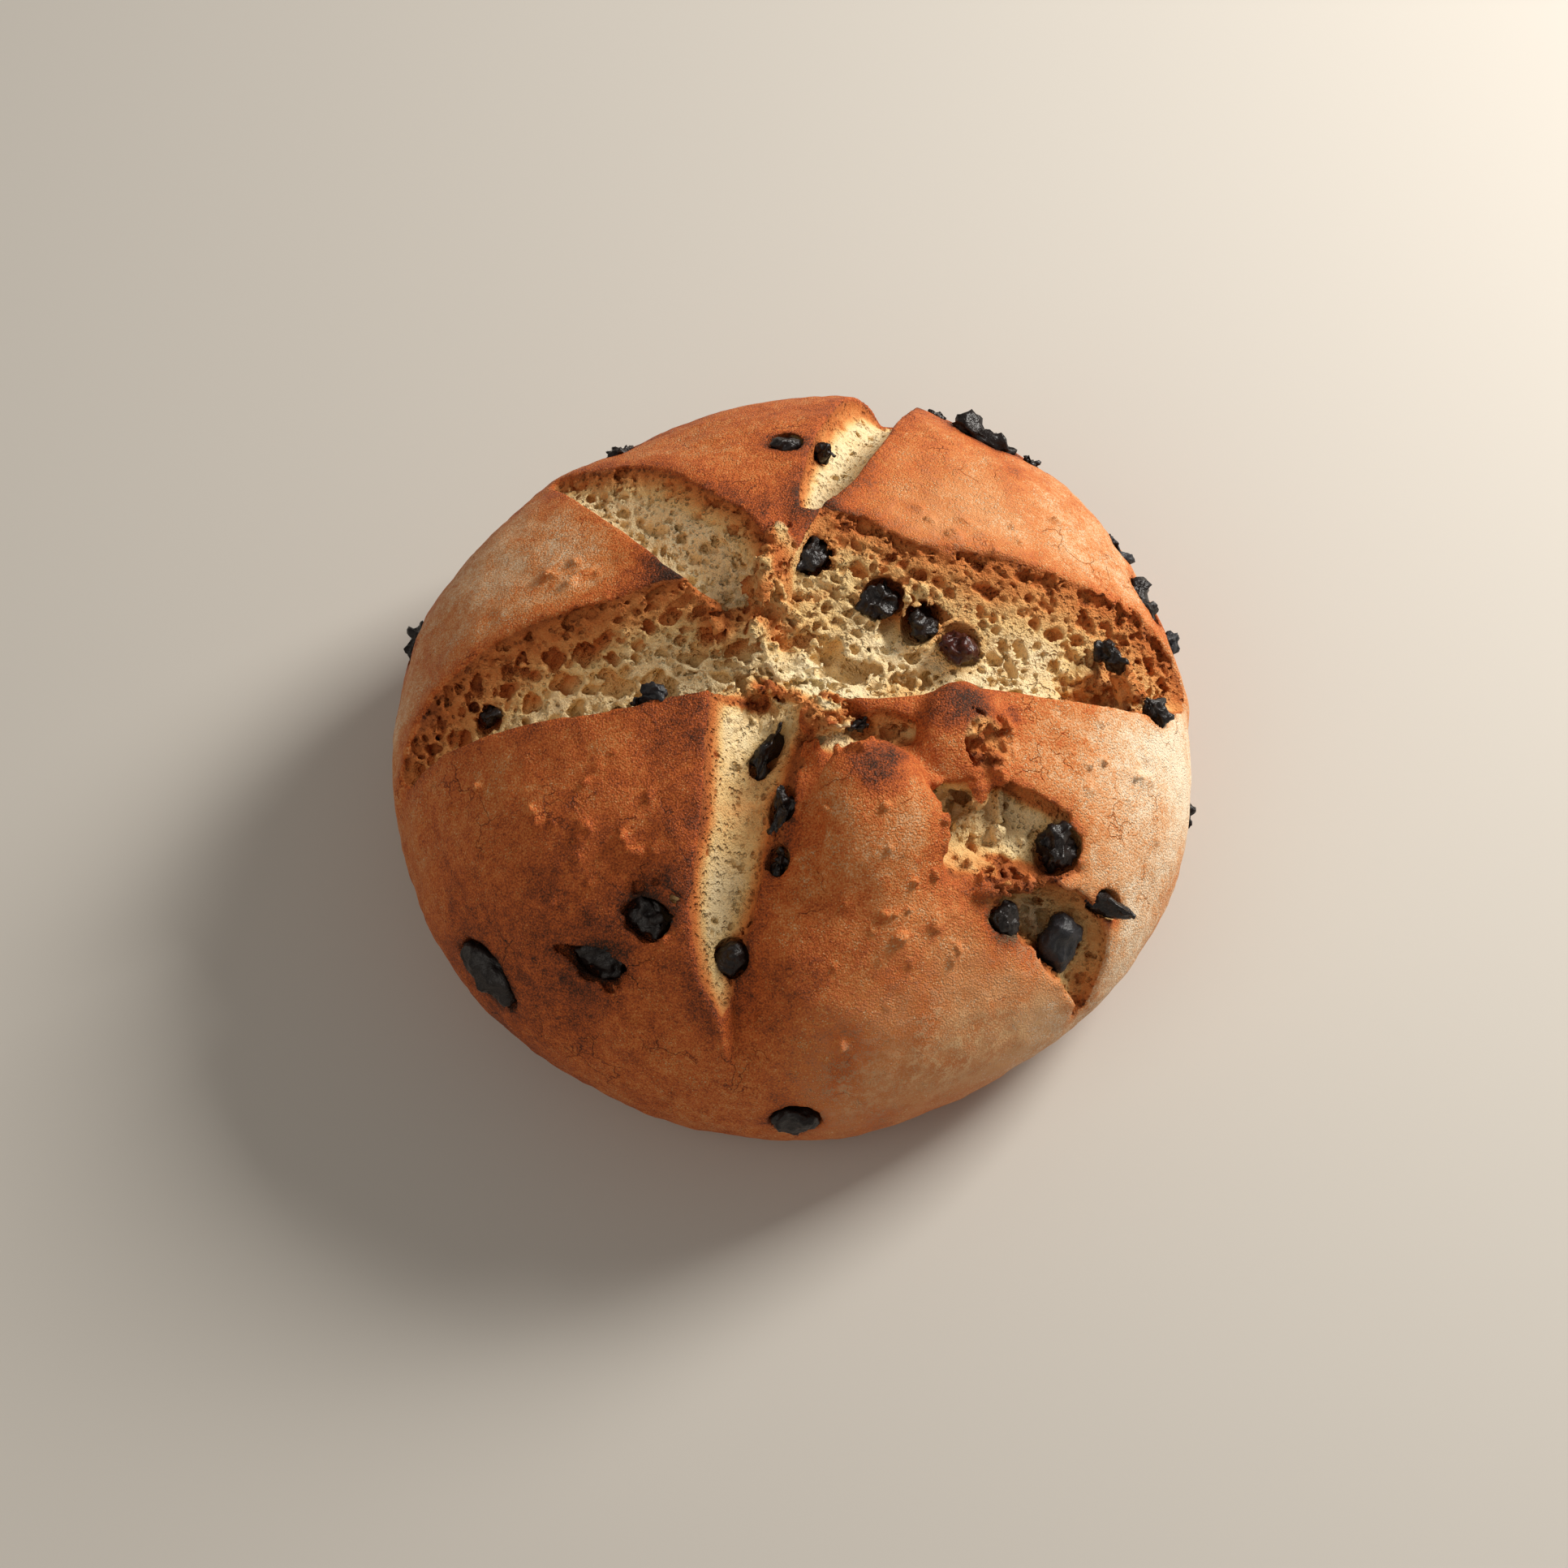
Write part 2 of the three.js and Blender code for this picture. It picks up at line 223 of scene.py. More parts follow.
class ShaderTree:
    """A material under construction."""

    def __init__(self, name: str) -> None:
        """Starts an empty material.

        Args:
            name: the material's name.
        """
        self.material = bpy.data.materials.new(name)
        self.material.use_nodes = True
        self.nodes = self.material.node_tree.nodes
        self.nodes.clear()

    def node(self, kind: str, settings: dict, sockets: dict, out: int | str = 0) -> Flow:
        """Adds a node.

        Args:
            kind: the node's type.
            settings: its properties by name.
            sockets: its inputs by name or number, each a value or a flow.
            out: the output that is wanted.

        Returns:
            That output.
        """
        node = self.nodes.new(kind)
        for name, value in settings.items():
            setattr(node, name, value)
        for name, value in sockets.items():
            if isinstance(value, Flow):
                self.material.node_tree.links.new(value.socket, node.inputs[name])
            else:
                node.inputs[name].default_value = value
        return Flow(self, node.outputs[out])

    def place(self) -> Flow:
        """Object coordinates, in metres."""
        return self.node("ShaderNodeTexCoord", {}, {}, "Object")

    def attribute(self, name: str) -> Flow:
        """A value kept on the mesh's points."""
        return self.node("ShaderNodeAttribute", {"attribute_name": name}, {}, "Fac")

    def noise(self, grain_mm: float, detail: float = 2.0, rough: float = 0.5) -> Flow:
        """Noise from 0 to 1 with a grain in millimetres."""
        sockets = {"Vector": self.place(), "Scale": 1 / MM / grain_mm, "Detail": detail, "Roughness": rough}
        return self.node("ShaderNodeTexNoise", {}, sockets)

    def warped(self, grain_mm: float, reach_mm: float) -> Flow:
        """Object coordinates pushed about by noise.

        Args:
            grain_mm: size of the noise's grain, in millimetres.
            reach_mm: how far it pushes them, in millimetres.

        Returns:
            The pushed coordinates, in metres.
        """
        sockets = {"Vector": self.place(), "Scale": 1 / MM / grain_mm}
        push = self.node("ShaderNodeTexNoise", {}, sockets, "Color")
        terms = {0: push, 1: (reach_mm * MM,) * 3, 2: self.place()}
        return self.node("ShaderNodeVectorMath", {"operation": "MULTIPLY_ADD"}, terms)

    def cells(self, across_mm: float, place: Flow | None = None,
              measure: CellMeasure = CellMeasure.MIDDLE) -> Flow:
        """Distances in a pattern of random cells.

        Args:
            across_mm: size of a cell, in millimetres.
            place: the coordinates to read, if not the object's own.
            measure: what is measured.

        Returns:
            The distance, in cells.
        """
        sockets = {"Vector": place or self.place(), "Scale": 1 / MM / across_mm}
        return self.node("ShaderNodeTexVoronoi", {"feature": measure.value}, sockets)

    def mix(self, share: "Number", first: "Flow | tuple", second: "Flow | tuple") -> Flow:
        """Mixes two colours."""
        return self.node("ShaderNodeMix", {"data_type": "RGBA"}, {0: share, 6: first, 7: second}, 2)

    def finish(self, colour: "Flow | tuple", roughness: "Number", bump: "Flow | None" = None,
               bump_mm: float = 0.3, **constants: float) -> bpy.types.Material:
        """Ends the material with a surface.

        Args:
            colour: the base colour.
            roughness: the roughness.
            bump: height from 0 to 1.
            bump_mm: how high a bump of 1 stands.
            constants: other inputs of the surface.

        Returns:
            The material.
        """
        sockets = {"Base Color": colour, "Roughness": roughness, **constants}
        if bump is not None:
            sockets["Normal"] = self.node("ShaderNodeBump", {}, {"Height": bump, "Distance": bump_mm * MM})
        surface = self.node("ShaderNodeBsdfPrincipled", {}, sockets)
        output = self.nodes.new("ShaderNodeOutputMaterial")
        self.material.node_tree.links.new(surface.socket, output.inputs["Surface"])
        return self.material


@dataclass(frozen=True)
class Wave:
    """One swelling of the plan outline: how many times round, its share of the radius and its peak."""

    count: int
    share: float
    peak_deg: float


@dataclass(frozen=True)
class Patch:
    """A soft spot on the crust map: its middle, its reach, and how high or how strong it is."""

    at: tuple[float, float]
    reach: float
    strength: float


def patchwork(patches: tuple[Patch, ...], u: Array, v: Array) -> Array:
    """Adds up patches at places on the map."""
    return sum(p.strength * np.exp(-((u - p.at[0]) ** 2 + (v - p.at[1]) ** 2) / p.reach**2) for p in patches)


@dataclass(frozen=True)
class Dome:
    """The crust without its cuts, seen from a core point inside the loaf."""

    core: tuple[float, float, float] = (-0.4, -0.4, 27.0)
    radius: float = 90.0
    rise: float = 56.0
    drop: float = 46.0
    squareness: float = 2.15
    map_scale: float = 80.0
    waves: tuple[Wave, ...] = (
        Wave(1, 0.008, 52.0),
        Wave(2, 0.017, 33.0),
        Wave(3, 0.008, 56.0),
        Wave(4, 0.009, -20.0),
        Wave(6, 0.007, -25.0),
    )

    def reach(self, direction: Array) -> Array:
        """Measures the plain dome.

        Args:
            direction: unit directions from the core, one row each.

        Returns:
            The distance from the core to the crust along each.
        """
        flat = np.hypot(direction[..., 0], direction[..., 1])
        half = np.where(direction[..., 2] >= 0, self.rise, self.drop)
        power = self.squareness
        plain = ((flat / self.radius) ** power + (np.abs(direction[..., 2]) / half) ** power) ** (-1 / power)
        bearing = np.arctan2(direction[..., 1], direction[..., 0])
        swell = sum(w.share * np.cos(w.count * (bearing - math.radians(w.peak_deg))) for w in self.waves)
        return plain * (1.0 + swell * flat**2)

    def direction_at(self, u: Array, v: Array) -> Array:
        """Turns places on the crust map into directions.

        Args:
            u: first map coordinate.
            v: second map coordinate.

        Returns:
            Unit directions from the core.
        """
        tilt = np.hypot(u, v) / self.map_scale
        bearing = np.arctan2(v, u)
        return np.stack([np.sin(tilt) * np.cos(bearing), np.sin(tilt) * np.sin(bearing), np.cos(tilt)], -1)

    def map_of(self, points: Array) -> tuple[Array, Array, Array, Array]:
        """Places points on the crust map.

        Args:
            points: one row a point, in millimetres.

        Returns:
            The map's u and v, the distance from the core, and the dome's reach in that direction.
        """
        rel = points - np.array(self.core)
        far = np.maximum(np.linalg.norm(rel, axis=-1), 1e-6)
        direction = rel / far[..., None]
        spread = self.map_scale * np.arccos(np.clip(direction[..., 2], -1.0, 1.0))
        bearing = np.arctan2(direction[..., 1], direction[..., 0])
        return spread * np.cos(bearing), spread * np.sin(bearing), far, self.reach(direction)


@dataclass(frozen=True)
class Cut:
    """A scored cut on the crust map, from the middle of the star outwards.

    depth is below the crust, and deepest is where the floor lies lowest from -1 (right bank) to 1 (left
    bank). Each pair is for the left and the right bank: wall is the share of the depth that drops straight
    at it, slope how far that drop is spread, lift raises the rim, tuck draws the wall back under it,
    toasted is how far the wall is browned from it, and jag how far the bank's edge is torn.
    """

    name: str
    spine: tuple[tuple[float, float], ...]
    half: tuple[float, ...]
    depth: tuple[float, ...]
    deepest: float
    wall: tuple[float, float]
    lift: tuple[float, float]
    slope: tuple[float, float] = (0.8, 0.8)
    tuck: tuple[float, float] = (0.6, 0.6)
    toasted: tuple[float, float] = (4.0, 2.0)
    jag: tuple[float, float] = (0.16, 0.16)
    cells: int = 150
    cell_size: float = 1.2

    RAGGED_SHARE = 0.028
    RAGGED_TURNS = (1.7, 3.4)
    RAGGED_STARTS = (1.3, 4.1)
    SAMPLES = 80
    STEPS = 40

    def ragged(self, station: Array, left: Array) -> Array:
        """How far a bank strays from its smooth line.

        Args:
            station: place along the cut, from 0 to 1.
            left: whether the left bank is meant.

        Returns:
            A factor of the half width.
        """
        turn = 2 * math.pi * station + np.where(left, *self.RAGGED_STARTS)
        slow, fast = self.RAGGED_TURNS
        return 1 + self.RAGGED_SHARE * (np.sin(slow * turn) + 0.6 * np.sin(fast * turn + 0.8))

    def sizes(self, station: Array) -> tuple[Array, Array]:
        """Half width and depth at stations."""
        both = catmull_rom(np.array([self.half, self.depth], float).T, station)
        return both[..., 0], both[..., 1]

    def heading(self, station: float) -> tuple[Array, Array]:
        """Follows the spine in even steps.

        Args:
            station: place along the cut, from one step in to one step before its end.

        Returns:
            The nearest step's place on the map, and the spine's direction there.
        """
        spine = catmull_rom(np.array(self.spine), np.linspace(0.0, 1.0, self.STEPS + 1))
        i = int(round(station * self.STEPS))
        tangent = spine[i + 1] - spine[i - 1]
        return spine[i], tangent / np.linalg.norm(tangent)

    def locate(self, u: Array, v: Array) -> tuple[Array, Array, Array, Array]:
        """Places points of the map beside the cut.

        Args:
            u: first map coordinate.
            v: second map coordinate.

        Returns:
            Station, side from -1 to 1 between the banks, distance past the bank (negative inside), and
            whether the point is on the left.
        """
        share = np.linspace(0.0, 1.0, self.SAMPLES + 1)
        spine = catmull_rom(np.array(self.spine), share)
        nearest = np.full(u.shape, np.inf)
        index = np.zeros(u.shape, int)
        for i, (pu, pv) in enumerate(spine):
            gap = (u - pu) ** 2 + (v - pv) ** 2
            closer = gap < nearest
            nearest[closer] = gap[closer]
            index[closer] = i
        tangent = np.gradient(spine, axis=0)
        pace = np.linalg.norm(tangent, axis=1)
        tangent /= pace[:, None]
        du, dv = u - spine[index, 0], v - spine[index, 1]
        along = du * tangent[index, 0] + dv * tangent[index, 1]
        offset = dv * tangent[index, 0] - du * tangent[index, 1]
        free = share[index] + along / pace[index] / self.SAMPLES
        station = np.clip(free, 0.0, 1.0)
        beyond = np.abs(free - station) * self.SAMPLES * pace[index]
        half, _ = self.sizes(station)
        half = half * self.ragged(station, offset > 0)
        past = np.abs(offset) - half
        bank = np.where(beyond > 0.01, np.hypot(np.maximum(past, 0.0), beyond), past)
        return station, offset / half, bank, offset > 0

    def floor(self, station: Array, side: Array) -> Array:
        """Depth of the floor.

        Args:
            station: places along the cut, from 0 to 1.
            side: places across it, from -1 to 1.

        Returns:
            Depths below the crust.
        """
        _, depth = self.sizes(station)
        reach = np.where(side > self.deepest, 1 - self.deepest, 1 + self.deepest)
        off = np.minimum(np.abs(side - self.deepest) / reach, 1.0)
        wall = np.where(side > self.deepest, *self.wall)
        return depth * (wall + (1 - wall) * (1 - off**2))


# The scored cuts, from the middle of the star round to the front.
CUTS = (
    Cut("middle", ((-24, 4), (-6, 2), (14, 4)), (15, 20, 20), (9, 9.5, 9.5), 0.0, (0.6, 0.6), (0, 0),
        toasted=(1, 1), cells=70, cell_size=1.2),
    Cut("left", ((-8, 3), (-30, 1), (-52, -1.5), (-74, -4), (-92, -9.5), (-107, -19)),
        (16, 18.5, 17, 13.5, 9, 2), (11, 14, 17, 16, 11, 3), 0.55, (0.5, 0.12), (1.0, 2.0), tuck=(0.3, 0.5),
        toasted=(1.0, 8.0), cells=620, cell_size=1.25),
    Cut("upper_left", ((-14, 22), (-24, 34), (-34, 46), (-46, 57), (-58, 66), (-68, 74)),
        (10, 15, 13.5, 11.5, 7, 2), (11, 13, 12, 10, 6, 2), 0.6, (0.5, 0.08), (1.2, 1.6), tuck=(0.3, 0.2),
        toasted=(1.0, 5.0), cells=420, cell_size=0.85),
    Cut("top", ((4, 46), (8, 55), (13, 66), (19, 82), (25, 98), (31, 118)),
        (2, 6, 8.5, 9, 9, 3), (6, 10, 12, 12, 10, 3), 0.0, (0.45, 0.45), (0.8, 1.4), tuck=(0.4, 0.6),
        toasted=(1.5, 1.5), cells=60, cell_size=0.8),
    Cut("right", ((-3.4, 20), (18, 10.8), (40, 8), (58, 9.5), (78, 9), (96, 10), (112, 10)),
        (29, 29, 24.5, 21, 18, 14, 4), (11, 13, 16, 17, 15, 11, 3), -0.5, (0.06, 0.45), (1.8, 1.0),
        tuck=(0.2, 0.3), toasted=(10.0, 2.5), cells=1350, cell_size=1.0),
    Cut("saddle", ((3, -32), (14, -31.5), (26, -29), (36, -28)), (4, 5.5, 7, 4), (4, 4.5, 5, 3), 0.0,
        (0.1, 0.1), (0, 0), slope=(6.0, 5.0), tuck=(0, 0), toasted=(2, 2), jag=(1.2, 1.2), cells=50,
        cell_size=0.8),
    Cut("crater", ((37.5, -50.5), (44, -51), (55, -50.5), (66, -49.5), (73, -48)), (8.5, 12, 12.5, 10.5, 6),
        (7, 9, 11, 10, 6), 0.3, (0.7, 0.2), (0.8, 0.5), slope=(0.8, 4.0), tuck=(4.0, 0.2),
        toasted=(1.2, 1.0), jag=(1.6, 1.8), cells=60, cell_size=0.7),
    Cut("lower_right", ((55, -65), (66, -67.5), (77, -71), (87, -87)), (4, 8, 9.5, 2.5), (5, 9, 10, 3), 0.2,
        (0.5, 0.3), (0.6, 0.6), slope=(1.6, 2.5), tuck=(0.8, 0.2), toasted=(9.0, 5.0), jag=(0.9, 1.4),
        cells=170, cell_size=0.9),
    Cut("bottom", ((-10, -14), (-10, -32), (-14, -52), (-18, -72), (-19, -84), (-17.5, -94)),
        (13, 14.5, 11.5, 8.5, 5, 1.5), (11, 13, 11, 9, 6, 2), -0.45, (0.12, 0.3), (-4.5, 2.0),
        slope=(4.0, 1.5), tuck=(0.0, 0.3), toasted=(4.5, 1.3), jag=(1.4, 0.4), cells=90, cell_size=0.6),
)
# Swellings and dips of the crust, in millimetres.
MOUNDS = (
    Patch((21, -43), 7, 2.5), Patch((23, -52), 10, 3.5), Patch((25, -64), 14, 3.0),
    Patch((47, -25), 9, 2.0), Patch((-42, -66), 4, -1.6), Patch((-36, -78), 4, 0.8),
    Patch((-62, -34), 7, -0.7), Patch((-86, -76), 10, -1.0), Patch((-60, -92), 8, -1.2),
    Patch((40, -60), 6, -1.5), Patch((-44, -98), 6, 0.8), Patch((40, 74), 7, 0.9),
    Patch((-36, 25), 10, 2.0), Patch((68, -74), 9, -3.0), Patch((50, 62), 22, 1.5),
    Patch((-62, -55), 26, 1.5), Patch((22, -92), 26, 1.8),
)

# Where the crust is baked darker or paler.
BROWNING = (
    Patch((-33, 23), 9, 0.36), Patch((-40, 20), 18, 0.08), Patch((-5, 45), 14, 0.12),
    Patch((8, 47), 14, 0.2), Patch((40, 38), 24, -0.08), Patch((-31, -24), 10, 0.2),
    Patch((-38, -56), 30, 0.1), Patch((21, -41), 6.5, 0.38), Patch((30, -50), 10, -0.12),
    Patch((38, -32), 7, -0.12), Patch((12, -48), 7, -0.1), Patch((46, -21.5), 7, 0.42),
    Patch((60, -19), 3.5, 0.3), Patch((26, -64), 22, -0.03), Patch((-80, -80), 34, 0.25),
    Patch((110, -10), 30, -0.5), Patch((95, -60), 24, -0.34), Patch((85, 50), 24, -0.2),
    Patch((-118, 0), 18, -0.25), Patch((90, -95), 22, -0.22), Patch((56, -104), 26, -0.08),
    Patch((54, 84), 8, 0.5), Patch((59, 63), 4, 0.25), Patch((57, -70), 6, 0.5),
    Patch((86, -60), 4, 0.5), Patch((-76, 38), 26, -0.24), Patch((75, -20), 20, -0.04),
    Patch((-10, 110), 46, 0.08), Patch((-8, -100), 30, 0.1), Patch((-38, -67), 6, 0.26),
    Patch((-52, -80), 8, 0.2),
)
# Where flour dulls the crust.
FLOURED = (
    Patch((44, -102), 17, 1.0), Patch((66, -94), 13, 0.8), Patch((18, -112), 15, 0.6),
    Patch((44, 42), 22, 0.35), Patch((72, -62), 20, 0.3),
)
# Where the crumb is toasted darker or paler, and one patch of painted shade.
TOAST_AND_SHADE = (
    Patch((44, -59), 5, 0.3), Patch((8, 14), 14, 0.12), Patch((27, -29), 9, 0.26),
    Patch((-14, -14), 8, 0.3), Patch((94, 5), 9, 0.3), Patch((52, -28), 8, 0.4),
    Patch((55, -47), 11, 0.13), Patch((-25, 10), 7, 0.45), Patch((-5, 28), 5, 0.5),
    Patch((-9, 14), 5, 0.35), Patch((10, -24), 10, -0.12), Patch((42, -12), 10, 0.3),
    Patch((6, -10), 13, -0.1), Patch((-72, 0), 20, 0.08), Patch((-95, -6), 14, 0.1),
    Patch((56, -63), 8, 0.45), Patch((76, -53), 7, 0.3), Patch((80, -72), 11, -0.3),
    Patch((96, 6), 9, 0.18), Patch((-12, -8), 8, 0.12), Patch((2, -40), 8, 0.4),
    Patch((30, -32), 8, 0.2), Patch((60, 18), 12, 0.1), Patch((50, -36), 8, 0.3), Patch((5, 44), 8, 0.5),
    # The patch at (-14, -52) is painted shade: the nose ridge's shadow darkening the bottom cut's floor.
    Patch((-14, -52), 17, 0.3), Patch((-4, 12), 9, 0.28), Patch((14, 18), 9, 0.14),
)
# Where the crust is torn off.
TORN = (
    Patch((51, -29), 6.5, 1.4), Patch((11, -24), 7.5, 1.5), Patch((-14, -15), 4, 1.2),
    Patch((94, 5), 7, 1.4), Patch((58, -65), 7, 1.2), Patch((74, -76), 4, 1.2), Patch((-6, 30), 7, 1.2),
    Patch((-9, 18), 6, 1.0),
)


class Layer(Enum):
    """What the crust sheet knows at each place."""

    RELIEF = "height above the plain dome"
    FLOOR = "depth of the cuts"
    BANK = "distance past the nearest bank, negative inside"
    TUCK = "how far the wall is drawn back there"
    FOOT = "how deep that wall drops"
    TOAST = "how far the wall is browned"


@dataclass
class CrustSheet:
    """The opened crust's layers, worked out once on a fine grid of the crust map."""

    dome: Dome
    pitch: float = 0.5
    reach: float = 170.0
    layers: dict[Layer, Array] = field(init=False)

    JAG_GRAIN = 4.5
    MERGE = 1.5
    RIM_WIDTH = 11.0
    STAR_TOAST = 0.3
    STAR_END = 0.08
    UNDER_RIM = (3.5, 2.0)
    SKIN = (0.4, 1.0)
    TORN_RIM = (9.0, 6.5)
    TORN_ABOVE = (-9.0, -4.0)

    def __post_init__(self) -> None:
        """Fills the layers from the mounds and the cuts."""
        line = np.arange(-self.reach, self.reach + self.pitch, self.pitch)
        v, u = np.meshgrid(line, line, indexing="ij")
        flat = np.stack([u.ravel(), v.ravel(), np.zeros(u.size)], -1)
        torn = Noise(3).layered(flat, self.JAG_GRAIN).reshape(u.shape)
        raised, sunk = np.zeros_like(u), np.zeros_like(u)
        floor, tuck, foot, toast = (np.zeros_like(u) for _ in range(4))
        bank = np.full(u.shape, FAR)
        for cut in CUTS:
            station, side, past, left = cut.locate(u, v)
            past = past + np.where(left, *cut.jag) * torn
            share = smoothstep(-1.0, 1.0, side)
            lift = cut.lift[0] * share + cut.lift[1] * (1.0 - share)
            lift = lift * np.exp(-((np.maximum(past, 0.0) / self.RIM_WIDTH) ** 2))
            raised, sunk = np.maximum(raised, lift), np.minimum(sunk, lift)
            slope = np.where(left, *cut.slope)
            depth = cut.floor(station, side) * smoothstep(0.0, 1.0, (slope / 2 - past) / slope)
            floor = self._soft_max(floor, depth, self.MERGE)
            nearer = past < bank
            tuck = np.where(nearer, np.where(left, *cut.tuck), tuck)
            foot = np.where(nearer, cut.sizes(station)[1] * np.where(left, *cut.wall), foot)
            bank = np.minimum(bank, past)
            toast = np.maximum(toast, self._browned(cut, station, side, past))
        relief = patchwork(MOUNDS, u, v) + raised + sunk
        self.layers = dict(zip(Layer, (relief, floor, bank, tuck, foot, toast)))

    def _browned(self, cut: Cut, station: Array, side: Array, bank: Array) -> Array:
        """How far a cut's walls are browned by the oven.

        Args:
            cut: the cut.
            station: places along it.
            side: places across it.
            bank: distances past its banks.

        Returns:
            Shares from 0 to 1.
        """
        half, _ = cut.sizes(station)
        out, back = self.UNDER_RIM
        browned = np.zeros_like(side)
        for sign, reach, tuck in zip((1, -1), cut.toasted, cut.tuck):
            gap = np.maximum((1 - sign * side) * half, 0.0)
            near = smoothstep(tuck + out, tuck + back, bank)
            browned = np.maximum(browned, np.exp(-((gap / reach) ** 2)) * near)
        inside = self.STAR_TOAST if cut.name == "middle" else smoothstep(0.0, self.STAR_END, station)
        return browned * inside

    @staticmethod
    def _soft_max(a: Array, b: Array, blend: float) -> Array:
        """Joins two depths.

        Args:
            a: the first.
            b: the second.
            blend: how widely they are rounded where they meet.

        Returns:
            The larger of the two, exact where either is nought.
        """
        h = np.clip(0.5 + 0.5 * (b - a) / blend, 0.0, 1.0)
        soft = a * (1 - h) + b * h + blend * h * (1 - h)
        return np.where((a > 0) & (b > 0), np.maximum(soft, np.maximum(a, b)), np.maximum(a, b))

    def read(self, layer: Layer, u: Array, v: Array) -> Array:
        """Reads a layer between its grid points.

        Args:
            layer: the layer.
            u: first map coordinate.
            v: second map coordinate.

        Returns:
            The layer's values there.
        """
        grid = self.layers[layer]
        top = grid.shape[0] - 1.001
        x = np.clip((u + self.reach) / self.pitch, 0, top)
        y = np.clip((v + self.reach) / self.pitch, 0, top)
        ix, iy = x.astype(int), y.astype(int)
        fx, fy = x - ix, y - iy
        return (grid[iy, ix] * (1 - fx) * (1 - fy) + grid[iy, ix + 1] * fx * (1 - fy)
                + grid[iy + 1, ix] * (1 - fx) * fy + grid[iy + 1, ix + 1] * fx * fy)

    def torn_share(self, points: Array) -> tuple[Array, Array, Array, Array]:
        """How far points lie on torn crumb, from 0 on whole crust to 1.

        Args:
            points: one row a point, in millimetres.

        Returns:
            The share, the place on the map as u and v, and the depth below the crust.
        """
        u, v, far, reach = self.dome.map_of(points)
        depth = reach + self.read(Layer.RELIEF, u, v) - far
        share = smoothstep(*self.SKIN, depth) * smoothstep(*self.TORN_RIM, self.read(Layer.BANK, u, v))
        torn = np.minimum(patchwork(TORN, u, v), 1.0) * smoothstep(*self.TORN_ABOVE, depth)
        return np.maximum(share, torn), u, v, depth

    def floor_at(self, u: float, v: float) -> float:
        """Depth of the cuts' floor at one place on the map."""
        return float(self.read(Layer.FLOOR, np.array(u), np.array(v)))

    def under_crust(self, u: float, v: float, depth: float) -> tuple[Array, Array]:
        """Goes down through the crust.

        Args:
            u: first map coordinate.
            v: second map coordinate.
            depth: how far, in millimetres.

        Returns:
            The point there, and the direction up from it.
        """
        up = self.dome.direction_at(np.array(u), np.array(v))
        far = self.dome.reach(up) + self.read(Layer.RELIEF, np.array(u), np.array(v)) - depth
        return np.array(self.dome.core) + up * far, up

    def axes_at(self, u: float, v: float, turn_deg: float) -> Array:
        """Sets up axes at a place on the map.

        Args:
            u: first map coordinate.
            v: second map coordinate.
            turn_deg: turn of the first axis from the map's.

        Returns:
            The first axis, its square and up, as the columns of a matrix.
        """
        up = self.dome.direction_at(np.array(u), np.array(v))
        east = np.array([-up[1], up[0], 0.0])
        east /= np.linalg.norm(east)
        angle = math.radians(turn_deg) - (math.atan2(v, u) + math.pi / 2)
        first = np.array(Matrix.Rotation(angle, 3, Vector(up)) @ Vector(east))
        return np.stack([first, np.cross(up, first), up], -1)


@dataclass(frozen=True)
class Lump:
    """A rounded body on the crust map: its middle, its depth there, its three sizes and its turn."""

    at: tuple[float, float]
    size: tuple[float, float, float]
    turn_deg: float
    depth: float

    def body(self, sheet: CrustSheet, room: float = 0.0) -> tuple[Array, Array, Array]:
        """Sets the body in the loaf.

        Args:
            sheet: the crust that it is placed from.
            room: how much wider than its size it is all round.

        Returns:
            Its middle, its axes as the columns of a matrix, and its half sizes along them.
        """
        middle, _ = sheet.under_crust(*self.at, self.depth)
        return middle, sheet.axes_at(*self.at, self.turn_deg), np.array(self.size) / 2 + room


@dataclass(frozen=True)
class Crumble:
    """A spill of torn crumbs along a line on the crust map."""

    start: tuple[float, float]
    end: tuple[float, float]
    spread: float
    count: int
    radius: tuple[float, float] = (0.35, 0.9)


